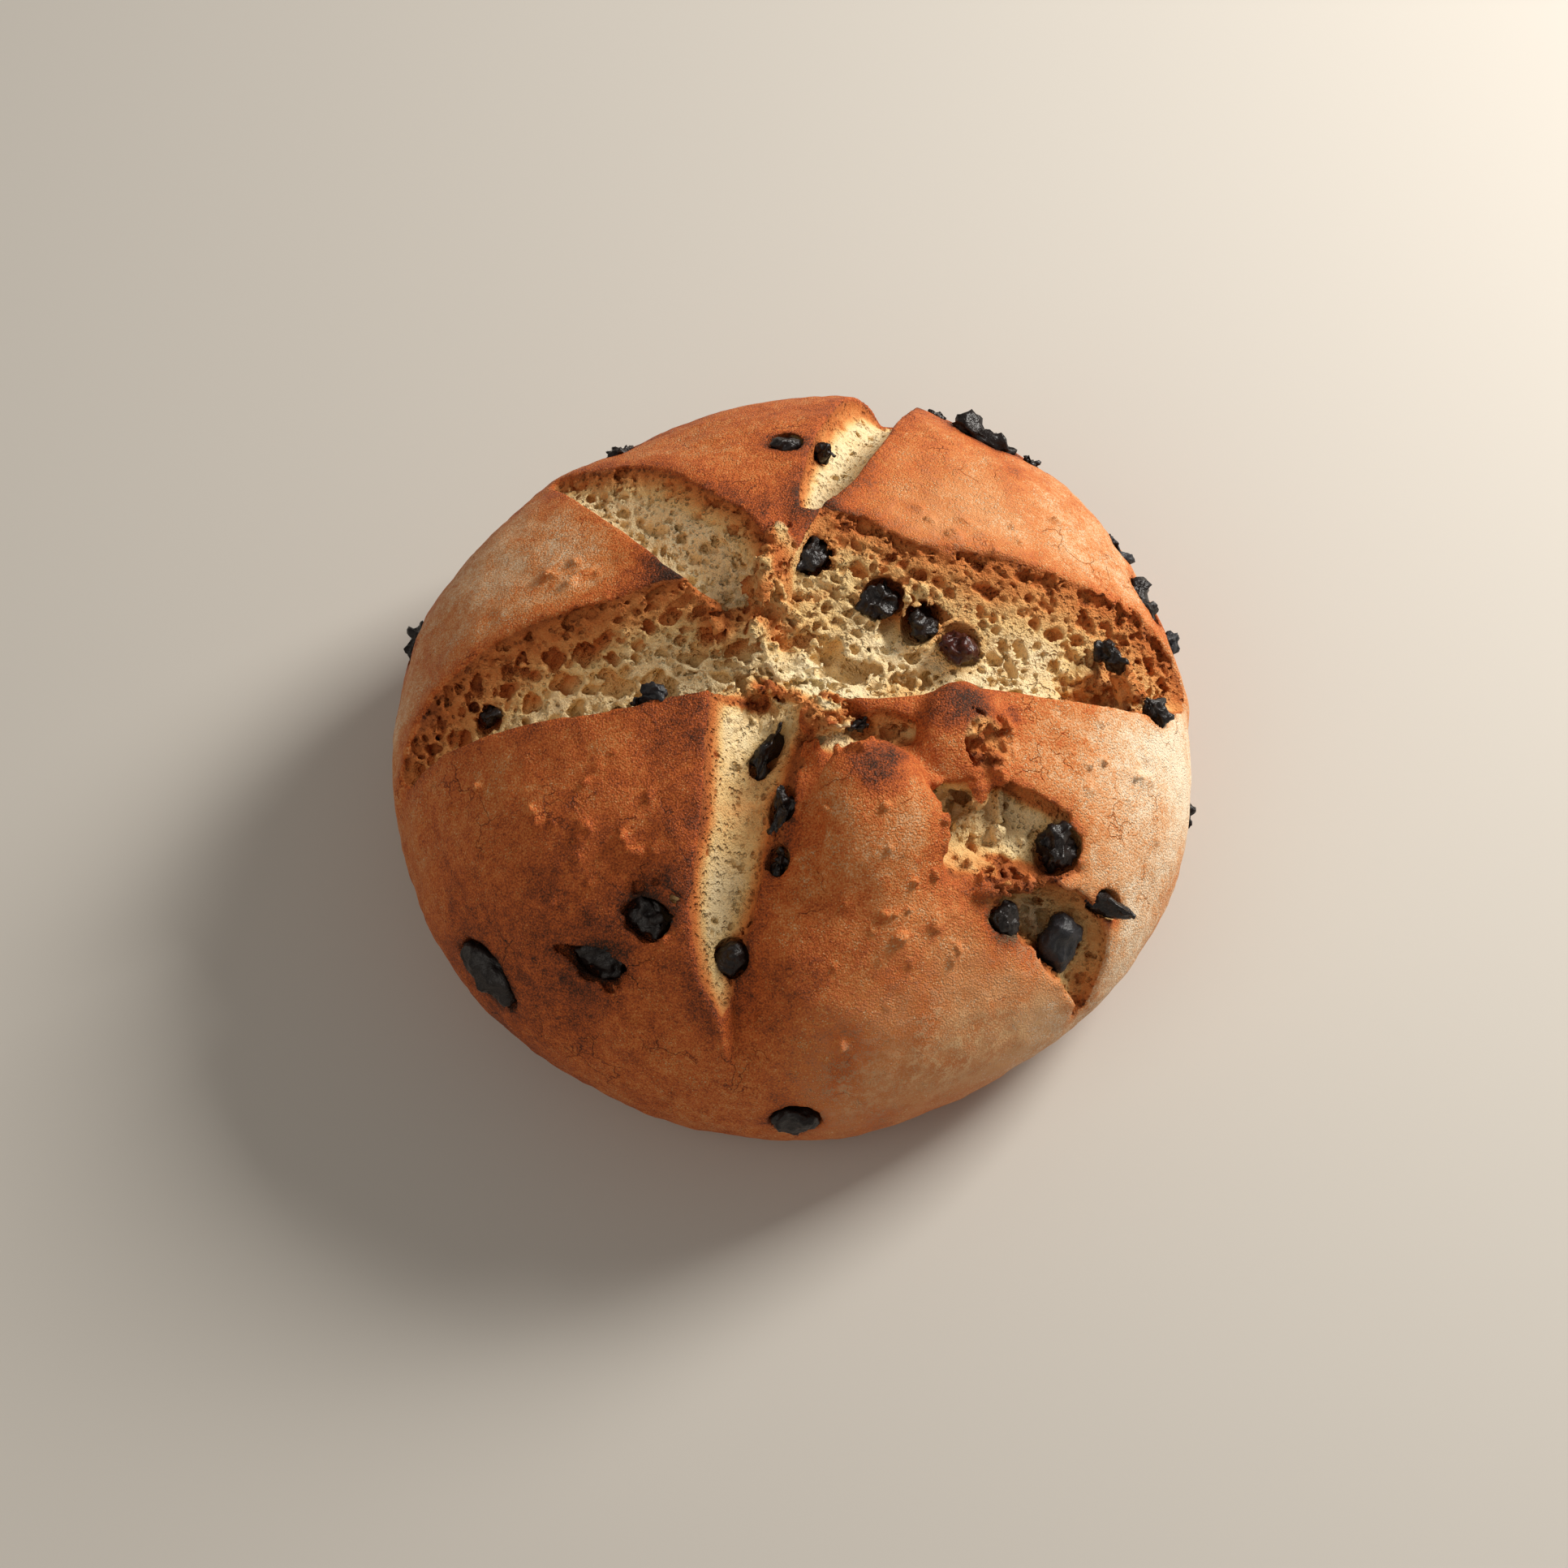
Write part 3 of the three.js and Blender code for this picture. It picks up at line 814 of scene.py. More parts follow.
# The raisins by number, from the first.
RAISINS = (
    Lump((5.3, 39), (11, 11, 9), 20, 8), Lump((30.7, 24), (9, 10.5, 8), -50, 9.5),
    Lump((44.5, 19), (8, 13, 8), -20, 12.5), Lump((56.5, 10.5), (11, 10, 8), 15, 12),
    Lump((72.5, -50.5), (11, 11.5, 9), -25, 3.5), Lump((77, -73), (10, 14, 9), 20, 4.5),
    Lump((57.5, -70.5), (9, 7, 6), -30, 1.6), Lump((85, -59), (8, 5.5, 14), -25, 0.5),
    Lump((-10, -36.5), (16, 5, 6), 62, 11), Lump((-2.5, -54), (7, 12, 8), 8, 4.5),
    Lump((-4.2, -67), (5, 9, 6), 0, 3), Lump((-17.5, -87), (8.5, 9, 7.5), 10, 4.5),
    Lump((21, -27.5), (5.5, 5, 5), 0, 3.8), Lump((-43, -16.3), (10, 4, 5), 8, 2.0),
    Lump((-38.3, -73.1), (11, 9, 7), -12, 2.6), Lump((-52.4, -80), (13, 10, 7), -20, 4.2),
    Lump((-86.4, -75.6), (11, 17, 8), 30, 0.6), Lump((0.6, -121.8), (11, 9, 7), -5, 1.0),
    Lump((-2.3, 73.5), (8, 9, 6), 15, 1.2), Lump((52.6, 83.2), (16, 13, 7), -12, 0.6),
    Lump((67.3, 81.6), (8, 6, 5), 10, 0.6), Lump((40, 94.4), (7, 6, 5), 0, 0.8),
    Lump((93.8, 57.9), (8, 8, 6), 0, 1.6), Lump((99, 35), (9, 16, 7), 10, 1.2),
    Lump((107, 27), (7, 11, 6), 20, 1.0), Lump((90, 11), (8, 8, 7), 0, 4.5),
    Lump((98, -2.5), (11, 7, 6), -10, 1.4), Lump((9.5, 76), (5, 7, 5), 20, 5.5),
    Lump((-92, -6), (6, 6, 5), 40, 11), Lump((-52, 88), (9, 8, 7), 30, 1.4),
    Lump((8, 122), (12, 9, 7), -8, 1.2), Lump((-112, 34), (10, 12, 7), 15, 1.3),
    Lump((-84, 92), (9, 7, 6), 50, 1.2), Lump((88, 100), (10, 8, 7), -40, 1.2),
    Lump((128, -18), (8, 11, 6), 5, 1.1),
)
# Numbers of the raisins that taper, and how strongly, and of those with few folds.
POINTED = {8: 1.1}
SMOOTH = (6, 7, 8, 12, 17, 18, 19)
# The nose between the bottom cut and the crater, and the browned knob behind it.
SWELLINGS = (
    Lump((21.5, -47), (24, 24, 14), 0, 3.5), Lump((24, -60), (27, 34, 12), -4, 3.8),
    Lump((48, -27), (21, 23, 13), 15, 3.4),
)
# Torn knobs, ridges and flaps that stand up from crumb and crust.
KNOBS = (
    Lump((11, -24), (11, 10, 9), 0, 1.5), Lump((2, -24), (10, 6, 7), 0, 9),
    Lump((-6, 29), (3.2, 18, 11), 14, 7.6), Lump((96, 6), (8, 8, 7), 0, 5),
    Lump((57, -63.5), (24, 5, 9), 6, 4.0), Lump((53, -36), (11, 9, 9), -20, 3.0),
    Lump((52, -41.5), (7, 5, 2.4), 60, 1.4), Lump((61, -43), (1.8, 7, 6), 12, 8.6),
)
# Large cells and torn holes, dug from the top of the dough.
PITS = (
    Lump((-52.4, -80), (16, 7, 7), -20, 1.8), Lump((-49, -84), (5, 8, 5), 10, 1.0),
    Lump((-38.3, -73), (12, 10, 5), -12, 0.8), Lump((-86, -76), (11, 17, 6), 30, 0.8),
    Lump((30, -28), (7, 5, 4), 10, 0.4), Lump((-41, -66), (4, 3, 2), 20, 0.2),
    Lump((-36, -65), (3, 2.5, 2), 0, 0.2), Lump((-31, -69), (2.5, 4, 2), 30, 0.2),
    Lump((-44, -70), (2.5, 3, 2), 0, 0.1), Lump((23, 2), (18, 8, 6), -6, 0.6),
    Lump((15, 8), (6.5, 5, 8), 0, 1.6), Lump((1, 9), (8, 3.5, 6), 20, 1.2),
    Lump((43.5, -4), (5.5, 4.6, 8), 0, 1.8), Lump((50, -3), (4.2, 5, 7), 0, 1.6),
    Lump((35, 17), (5, 8, 8), -20, 2.0), Lump((-62, -3), (7, 5, 6), 0, 1.6),
    Lump((-50, -2), (5, 6, 7), 0, 1.6), Lump((-74, 0), (7, 4, 6), 0, 1.4),
    Lump((-36, 4), (6, 4, 6), 0, 1.4), Lump((56.5, -40), (5.5, 3, 5), -15, 1.0),
    Lump((55, -44), (6, 4, 5), 5, 1.2), Lump((49.5, -47.5), (3, 4.5, 5), 0, 1.2),
    Lump((49, -30), (4.5, 3.5, 5), 0, 0.8), Lump((-92, -8), (9, 3, 8), 50, 1.6),
)
# Spills of crumbs.
CRUMBLES = (
    Crumble((26, 27), (62, 7), 5.0, 60, (0.4, 1.2)), Crumble((7, -22), (15, -27), 3.6, 90, (0.4, 1.1)),
    Crumble((-2, -34), (20, -34), 2.4, 60, (0.4, 1.0)), Crumble((-27, 16), (-24, 8), 2.0, 26),
    Crumble((-4, 38), (-12, 8), 1.7, 170, (0.4, 1.1)), Crumble((-20, -18), (-20, -42), 2.2, 34),
    Crumble((48, -61), (70, -60), 2.2, 50, (0.4, 1.1)), Crumble((88, 8), (99, 1), 3.0, 44, (0.5, 1.3)),
    Crumble((-20, -13), (8, -13), 2.6, 90, (0.4, 1.1)),
    Crumble((55.5, -18), (59.5, -25), 0.8, 14, (0.4, 0.8)),
    Crumble((59.5, -25), (55, -38), 1.0, 24, (0.4, 0.9)),
    Crumble((47, -27), (54, -34), 3.4, 30, (0.4, 0.9)),
    Crumble((38, -41), (40, -58), 1.2, 34, (0.4, 0.9)),
    Crumble((44, -52), (66, -50), 6.0, 60, (0.5, 1.4)), Crumble((72, -75), (75, -80), 2.0, 14),
    Crumble((-64, -36), (-32, -78), 22.0, 34, (0.6, 1.3)),
    Crumble((12, -54), (34, -92), 18.0, 34, (0.6, 1.3)),
    Crumble((-66, 26), (-44, 20), 12.0, 12, (0.6, 1.2)),
    Crumble((76, -22), (98, -30), 14.0, 14, (0.6, 1.2)),
    Crumble((30, 44), (62, 34), 14.0, 14, (0.6, 1.2)),
)


@dataclass
class DoughField:
    """How far inside the baked dough each point of a fine block of space lies, in millimetres."""

    sheet: CrustSheet
    pitch: float
    low: tuple[float, float, float] = (-96.0, -98.0, -2.0)
    high: tuple[float, float, float] = (96.0, 98.0, 90.0)
    values: Array = field(init=False)

    CRUST_LIP = 0.8
    TUCKED_FOOT = (1.8, 3.2)
    FLOOR_PACE = 0.75
    LEAST_FLOOR, LEAST_TUCK, WALL_BAND = 0.05, 0.02, 1.0
    DENT = 0.2
    NARROWEST_SHARE = 0.4
    REACH_SHARE = 1.2
    LIP_WIDTH, LIP_BAND = 0.55, 1.5
    SIGHT = (-9.0, 24.0, 0.25)
    ROUGH_BAND = 1.6
    SMOOTH_BASE = (0.5, 5.0)
    LUMP_MM, GRIT_MM, WEB_MM, FINE_WEB_MM = 5.5, 1.1, 2.1, 1.2
    LUMP_HEIGHT, GRIT_HEIGHT, WEB_HEIGHT, WEB_MEAN = 0.34, 0.12, 0.26, 0.3
    TORN_ROUGHER = 1.1
    SWELL_MM, RIPPLE_MM = 13.0, 4.5
    SWELL_HEIGHT, RIPPLE_HEIGHT = 0.5, 0.3
    CLIP = 2.0

    def __post_init__(self) -> None:
        """Fills the block from the crust and its cuts, a level at a time."""
        axes = [np.arange(a, b, self.pitch) for a, b in zip(self.low, self.high)]
        x, y = np.meshgrid(axes[0], axes[1], indexing="ij")
        self.values = np.empty((*x.shape, len(axes[2])), np.float32)
        for k, z in enumerate(axes[2]):
            points = np.stack([x, y, np.full_like(x, z)], -1)
            self.values[:, :, k] = self._inside(points)

    def _inside(self, points: Array) -> Array:
        """Works out how deep points lie under crust, cuts, tucked walls and base.

        Args:
            points: points in millimetres.

        Returns:
            Depths inside the dough, negative outside.
        """
        u, v, far, reach = self.sheet.dome.map_of(points)
        depth = reach + self.sheet.read(Layer.RELIEF, u, v) - far
        floor = self.sheet.read(Layer.FLOOR, u, v)
        bank = self.sheet.read(Layer.BANK, u, v)
        foot = self.sheet.read(Layer.FOOT, u, v)
        down = (depth - self.CRUST_LIP) / np.maximum(foot - self.CRUST_LIP / 2, 0.5)
        swing = np.sin(math.pi * np.clip(down, 0.0, 1.0))
        tuck = self.sheet.read(Layer.TUCK, u, v) * smoothstep(*self.TUCKED_FOOT, foot) * swing
        opened = np.where(floor > self.LEAST_FLOOR, (depth - floor) * self.FLOOR_PACE, depth)
        walled = (tuck > self.LEAST_TUCK) & (bank > -self.WALL_BAND)
        under = np.where(walled, bank - tuck, FAR)
        solid = np.minimum(np.minimum(depth, opened), under)
        return np.minimum(solid, points[..., 2])

    def block(self, centre: Array, reach: float) -> tuple[tuple[slice, ...], Array]:
        """The part of the block round a point.

        Args:
            centre: the point, in millimetres.
            reach: half the side of the wanted part.

        Returns:
            The slices of the part and its points, both empty where it lies outside.
        """
        cuts, axes = [], []
        for c, low, count in zip(centre, self.low, self.values.shape):
            a = max(int(math.floor((c - reach - low) / self.pitch)), 0)
            b = max(min(int(math.ceil((c + reach - low) / self.pitch)) + 1, count), a)
            cuts.append(slice(a, b))
            axes.append(low + self.pitch * np.arange(a, b))
        return tuple(cuts), np.stack(np.meshgrid(*axes, indexing="ij"), -1)

    def _egg(self, points: Array, centre: Array, axes: Array, half: Array, phase: float) -> Array:
        """Measures an egg shape.

        Args:
            points: points in millimetres.
            centre: the egg's middle.
            axes: its axes, as the columns of a matrix.
            half: its half sizes along them.
            phase: how it is dented, not at all if nought.

        Returns:
            Distances outside it, negative inside.
        """
        local = (points - centre) @ axes / half
        length = np.linalg.norm(local, axis=-1)
        if phase:
            turned = local / np.maximum(length, 1e-6)[..., None]
            dent = np.sin(4 * turned[..., 0] + phase) * np.cos(3 * turned[..., 1] - 2 * phase)
            length = length / (1 + self.DENT * (dent + 0.7 * np.sin(6 * turned[..., 2] + 3 * phase)))
        radius = half.min() * self.NARROWEST_SHARE + half.mean() * (1 - self.NARROWEST_SHARE)
        return (length - 1.0) * float(radius)

    def dig(self, centre: Array, axes: Array, half: Array, phase: float = 0.0, rim: float = 0.0) -> None:
        """Takes an egg-shaped hole out of the dough.

        Args:
            centre: middle of the hole.
            axes: its axes, as the columns of a matrix.
            half: its half sizes along them.
            phase: how it is dented.
            rim: height of the thin lip left round it.
        """
        where, points = self.block(centre, float(half.max()) * self.REACH_SHARE + self.LIP_BAND)
        outside = self._egg(points, centre, axes, half, phase)
        part = self.values[where]
        if rim:
            part = part + rim * np.exp(-((outside / self.LIP_WIDTH) ** 2)) * (np.abs(part) < self.LIP_BAND)
        self.values[where] = np.minimum(part, outside)

    def add(self, centre: Array, axes: Array, half: Array, phase: float = 0.0, blend: float = 0.8) -> None:
        """Adds an egg-shaped lump to the dough.

        Args:
            centre: middle of the lump.
            axes: its axes, as the columns of a matrix.
            half: its half sizes along them.
            phase: how it is dented.
            blend: how softly it is joined, in millimetres.
        """
        where, points = self.block(centre, float(half.max()) * self.REACH_SHARE + 2.0 * blend)
        inside = -self._egg(points, centre, axes, half, phase)
        part = self.values[where]
        h = np.clip(0.5 + 0.5 * (inside - part) / blend, 0.0, 1.0)
        self.values[where] = part * (1 - h) + inside * h + blend * h * (1 - h)

    def strand(self, start: Array, end: Array, radius: float) -> None:
        """Adds a thread of dough, thinner in its middle.

        Args:
            start: where it starts.
            end: where it ends.
            radius: its radius in the middle.
        """
        line = end - start
        where, points = self.block((start + end) / 2, float(np.linalg.norm(line)) / 2 + 2 * radius + 1.0)
        share = np.clip((points - start) @ line / (line @ line), 0.0, 1.0)
        gap = np.linalg.norm(points - start - share[..., None] * line, axis=-1)
        thick = radius * (1.0 + 1.2 * (2 * share - 1) ** 2)
        self.values[where] = np.maximum(self.values[where], thick - gap)

    def top_at(self, u: float, v: float) -> float:
        """Looks for the dough on the way in through a place on the map.

        Args:
            u: first map coordinate.
            v: second map coordinate.

        Returns:
            The depth below the crust at which it is met.
        """
        depths = np.arange(*self.SIGHT)
        crust, up = self.sheet.under_crust(u, v, 0.0)
        index = np.round((crust - depths[:, None] * up - np.array(self.low)) / self.pitch).astype(int)
        inside = self.values[tuple(np.clip(index, 0, np.array(self.values.shape) - 1).T)] > 0
        return float(depths[np.argmax(inside)]) if inside.any() else 0.0

    def on_top(self, u: float, v: float, sunk: float) -> Array:
        """The point that lies a little under the dough's top at a place on the map."""
        return self.sheet.under_crust(u, v, self.top_at(u, v) + sunk)[0]

    def roughen(self, crumb: Noise, crust: Noise) -> None:
        """Breaks up the torn crumb with fine noise, and swells the crust softly.

        Args:
            crumb: the noise for the crumb.
            crust: the noise for the crust.
        """
        where = np.nonzero(np.abs(self.values) < self.ROUGH_BAND)
        points = np.stack([low + self.pitch * i for low, i in zip(self.low, where)], -1)
        torn, u, v, _ = self.sheet.torn_share(points)
        foot = smoothstep(*self.SMOOTH_BASE, points[:, 2])
        web = np.abs(crumb.at(points, self.WEB_MM)) + 0.5 * np.abs(crumb.at(points + 9.1, self.FINE_WEB_MM))
        lumps, grit = crumb.at(points, self.LUMP_MM), crumb.at(points + 5.0, self.GRIT_MM)
        rough = self.LUMP_HEIGHT * lumps + self.GRIT_HEIGHT * grit - self.WEB_HEIGHT * (web - self.WEB_MEAN)
        rough *= 1.0 + self.TORN_ROUGHER * np.minimum(patchwork(TORN, u, v), 1.0)
        ripples = crust.layered(points, self.RIPPLE_MM, 2)
        swell = self.SWELL_HEIGHT * crust.at(points, self.SWELL_MM) + self.RIPPLE_HEIGHT * ripples
        self.values[where] += (foot * (torn * rough + (1 - torn) * swell)).astype(np.float32)

    def surface(self) -> tuple[Array, Array]:
        """Takes the dough's outer surface.

        Returns:
            Its points in millimetres, and its four-sided faces.
        """
        grid = openvdb.FloatGrid(background=-self.CLIP)
        grid.copyFromArray(np.clip(self.values, -self.CLIP, self.CLIP), tolerance=0.0)
        points, quads = grid.convertToQuads(isovalue=0.0)
        return self._largest(points * self.pitch + np.array(self.low), quads[:, ::-1].astype(np.int64))

    @staticmethod
    def _largest(points: Array, quads: Array) -> tuple[Array, Array]:
        """Keeps the largest connected surface, so that shut cells and loose scraps go.

        Args:
            points: one row a point.
            quads: four of their numbers a face.

        Returns:
            The points and faces that are kept.
        """
        label = np.arange(len(points))
        while True:
            lowest = label[quads].min(axis=1)
            fresh = label.copy()
            for corner in range(4):
                np.minimum.at(fresh, quads[:, corner], lowest)
            fresh = fresh[fresh]
            if np.array_equal(fresh, label):
                break
            label = fresh
        main = np.bincount(label).argmax()
        kept = label == main
        index = np.cumsum(kept) - 1
        return points[kept], index[quads[kept[quads[:, 0]]]]


@dataclass
class Crumb:
    """Gas cells, threads and sockets that make the torn surface of the dough."""

    sheet: CrustSheet
    dough: DoughField
    seed: int = 11

    SWELLING_BLEND = 3.0
    SMALLEST_CELL, SMALL_CELLS, LARGE_CELLS = 0.32, 0.9, 1.2
    CELL_STATIONS = (0.03, 0.95)
    CELL_SIDES = (-0.97, 0.97)
    CELL_GAP = (0.74, 1.15)
    CELL_RIM = 0.35
    LOW_CELL, RIM_SMALLER = 1.15, 0.4
    DRAWN_OUT, DRAWN_AT_RIM = 1.1, 1.2
    CELL_SINK = (0.15, 0.6)
    CELL_HEIGHT = (0.8, 1.25)
    CELL_SWING = 0.35
    SHALLOW = 9.0
    DEEP = (8.0, 12.0)
    DEEP_THINNED = 0.55
    WALL_STATIONS = (0.04, 0.92)
    WALL_SHARE = 0.05
    WALL_TOAST = 8.0
    WALL_TOP, WALL_DOWN, WALL_FOOT = 0.8, (0.25, 1.0), 1.5
    WALL_CELL = (0.45, 1.1)
    BITES_PER_MM = 11
    BITE = (0.5, 1.25)
    SOCKET_ROOM = 0.25
    SPANS = (((-2, 2), 15.0, 70), ((-55, -9), 14.0, 20), ((40, -6), 12.0, 24))
    SPAN_LENGTH = (2.0, 6.0)
    SPAN_RADIUS = (0.28, 0.55)
    SPAN_FLOOR = 3.0

    def tear(self) -> None:
        """Sets the knobs and crumbs, opens every cut's cells, and digs the raisins' sockets."""
        draw = np.random.default_rng(self.seed)
        for swelling in SWELLINGS:
            self.dough.add(*swelling.body(self.sheet), blend=self.SWELLING_BLEND)
        for i, knob in enumerate(KNOBS):
            self.dough.add(*knob.body(self.sheet), phase=1.0 + i)
        for cut in CUTS:
            self._open_cells(cut, draw)
            self._pit_walls(cut, draw)
        for crumble in CRUMBLES:
            self._scatter(crumble, draw)
        self._span(draw)
        for patch in TORN:
            self._nibble(patch, draw)
        for i, pit in enumerate(PITS):
            middle, axes, half = pit.body(self.sheet)
            middle = middle - axes[:, 2] * self.dough.top_at(*pit.at)
            self.dough.dig(middle, axes, half, phase=2.0 + 0.7 * i)
        for raisin in RAISINS:
            self.dough.dig(*raisin.body(self.sheet, self.SOCKET_ROOM))

    @staticmethod
    def _axes_along(tangent: Array, up: Array) -> Array:
        """Sets up a cell's axes.

        Args:
            tangent: direction on the map in which it is drawn out.
            up: the way up there.

        Returns:
            The axes along, across and up, as the columns of a matrix.
        """
        along = np.array([tangent[0], tangent[1], 0.0])
        along -= up * (along @ up)
        along /= np.linalg.norm(along)
        return np.stack([along, np.cross(up, along), up], -1)

    def _open_cells(self, cut: Cut, draw: np.random.Generator) -> None:
        """Opens a cut's cells, larger low on its wall and drawn out along it under the rim.

        Args:
            cut: the cut.
            draw: where random values come from.
        """
        made: list[tuple[Array, float]] = []
        sizes = self.SMALLEST_CELL + self.SMALL_CELLS * draw.random(cut.cells) ** 2
        sizes = sizes + self.LARGE_CELLS * draw.random(cut.cells) ** 9
        for size in sorted(sizes * cut.cell_size, reverse=True):
            station, side = draw.uniform(*self.CELL_STATIONS), draw.uniform(*self.CELL_SIDES)
            middle = catmull_rom(np.array(cut.spine), np.array([station]))[0]
            _, tangent = cut.heading(station)
            half, _ = cut.sizes(np.array(station))
            u, v = middle + np.array([-tangent[1], tangent[0]]) * half * side
            floor = self.sheet.floor_at(u, v)
            near_rim = 1.0 - min(floor / self.SHALLOW, 1.0)
            if draw.random() < self.DEEP_THINNED * smoothstep(*self.DEEP, np.array(floor)):
                continue
            size *= self.LOW_CELL - self.RIM_SMALLER * near_rim
            stretch = 1.0 + self.DRAWN_AT_RIM * near_rim * draw.random()
            stretch = stretch + self.DRAWN_OUT * draw.random() ** 1.5
            centre, up = self.sheet.under_crust(u, v, floor + size * draw.uniform(*self.CELL_SINK))
            gap = draw.uniform(*self.CELL_GAP)
            if any(np.linalg.norm(centre - other) < gap * (size + radius) for other, radius in made):
                continue
            made.append((centre, size))
            swing = draw.normal(0, self.CELL_SWING)
            tangent = tangent * math.cos(swing) + np.array([-tangent[1], tangent[0]]) * math.sin(swing)
            halves = size * np.array([stretch, 1.0 / math.sqrt(stretch), draw.uniform(*self.CELL_HEIGHT)])
            phase = draw.uniform(0.5, 6.0)
            self.dough.dig(centre, self._axes_along(tangent, up), halves, phase, self.CELL_RIM)

    def _pit_walls(self, cut: Cut, draw: np.random.Generator) -> None:
        """Opens small cells, drawn out along the bank, in the walls under a cut's rims.

        Args:
            cut: the cut.
            draw: where random values come from.
        """
        for bank, left in enumerate((True, False)):
            for _ in range(int(cut.cells * self.WALL_SHARE * min(cut.toasted[bank] / self.WALL_TOAST, 1.0))):
                station = draw.uniform(*self.WALL_STATIONS)
                middle, tangent = cut.heading(station)
                half, depth = cut.sizes(np.array(station))
                height = float(depth) * cut.wall[bank] + self.WALL_FOOT
                down = draw.uniform(*self.WALL_DOWN)
                out = float(half * cut.ragged(np.array(station), np.array(left)))
                out += cut.tuck[bank] * math.sin(math.pi * down)
                place = middle + np.array([-tangent[1], tangent[0]]) * (out if left else -out)
                centre, up = self.sheet.under_crust(*place, self.WALL_TOP + height * down)
                size = draw.uniform(*self.WALL_CELL)
                halves = size * np.array([draw.uniform(1.0, 2.4), 1.0, draw.uniform(0.7, 1.1)])
                self.dough.dig(centre, self._axes_along(tangent, up), halves, draw.uniform(1, 6))

    def _scatter(self, crumble: Crumble, draw: np.random.Generator) -> None:
        """Adds a spill's crumbs.

        Args:
            crumble: the spill.
            draw: where random values come from.
        """
        start, end = np.array(crumble.start), np.array(crumble.end)
        for _ in range(crumble.count):
            share = draw.random()
            u, v = start + (end - start) * share + draw.normal(0, crumble.spread / 2, 2)
            radius = draw.uniform(*crumble.radius)
            centre = self.dough.on_top(u, v, radius * draw.uniform(-0.3, 0.7))
            halves = radius * draw.uniform(0.6, 1.5, 3)
            self.dough.add(centre, self.sheet.axes_at(u, v, draw.uniform(0, 180)), halves, draw.uniform(1, 6))

    def _nibble(self, patch: Patch, draw: np.random.Generator) -> None:
        """Tears small bites out of a patch's surface.

        Args:
            patch: the patch.
            draw: where random values come from.
        """
        for _ in range(int(patch.reach * self.BITES_PER_MM)):
            u, v = np.array(patch.at) + draw.normal(0, patch.reach / 1.9, 2)
            size = draw.uniform(*self.BITE)
            centre = self.dough.on_top(u, v, size * draw.uniform(-0.1, 0.5))
            halves = size * np.array([draw.uniform(1.0, 2.2), draw.uniform(0.6, 1.0), draw.uniform(0.7, 1.2)])
            self.dough.dig(centre, self.sheet.axes_at(u, v, draw.uniform(0, 180)), halves, draw.uniform(1, 6))

    def _span(self, draw: np.random.Generator) -> None:
        """Spans threads of dough across the middle of the star and low in the long cuts.

        Args:
            draw: where random values come from.
        """
        for middle, spread, count in self.SPANS:
            for _ in range(count):
                place = np.array(middle) + draw.normal(0, spread / 1.6, 2)
                turn, length = draw.uniform(0, math.pi), draw.uniform(*self.SPAN_LENGTH)
                step = np.array([math.cos(turn), math.sin(turn)]) * length / 2
                ends = []
                for u, v in (place - step, place + step):
                    floor = self.sheet.floor_at(u, v)
                    if floor < self.SPAN_FLOOR:
                        break
                    ends.append(self.sheet.under_crust(u, v, floor - draw.uniform(-0.4, 0.9))[0])
                if len(ends) == 2:
                    self.dough.strand(*ends, draw.uniform(*self.SPAN_RADIUS))


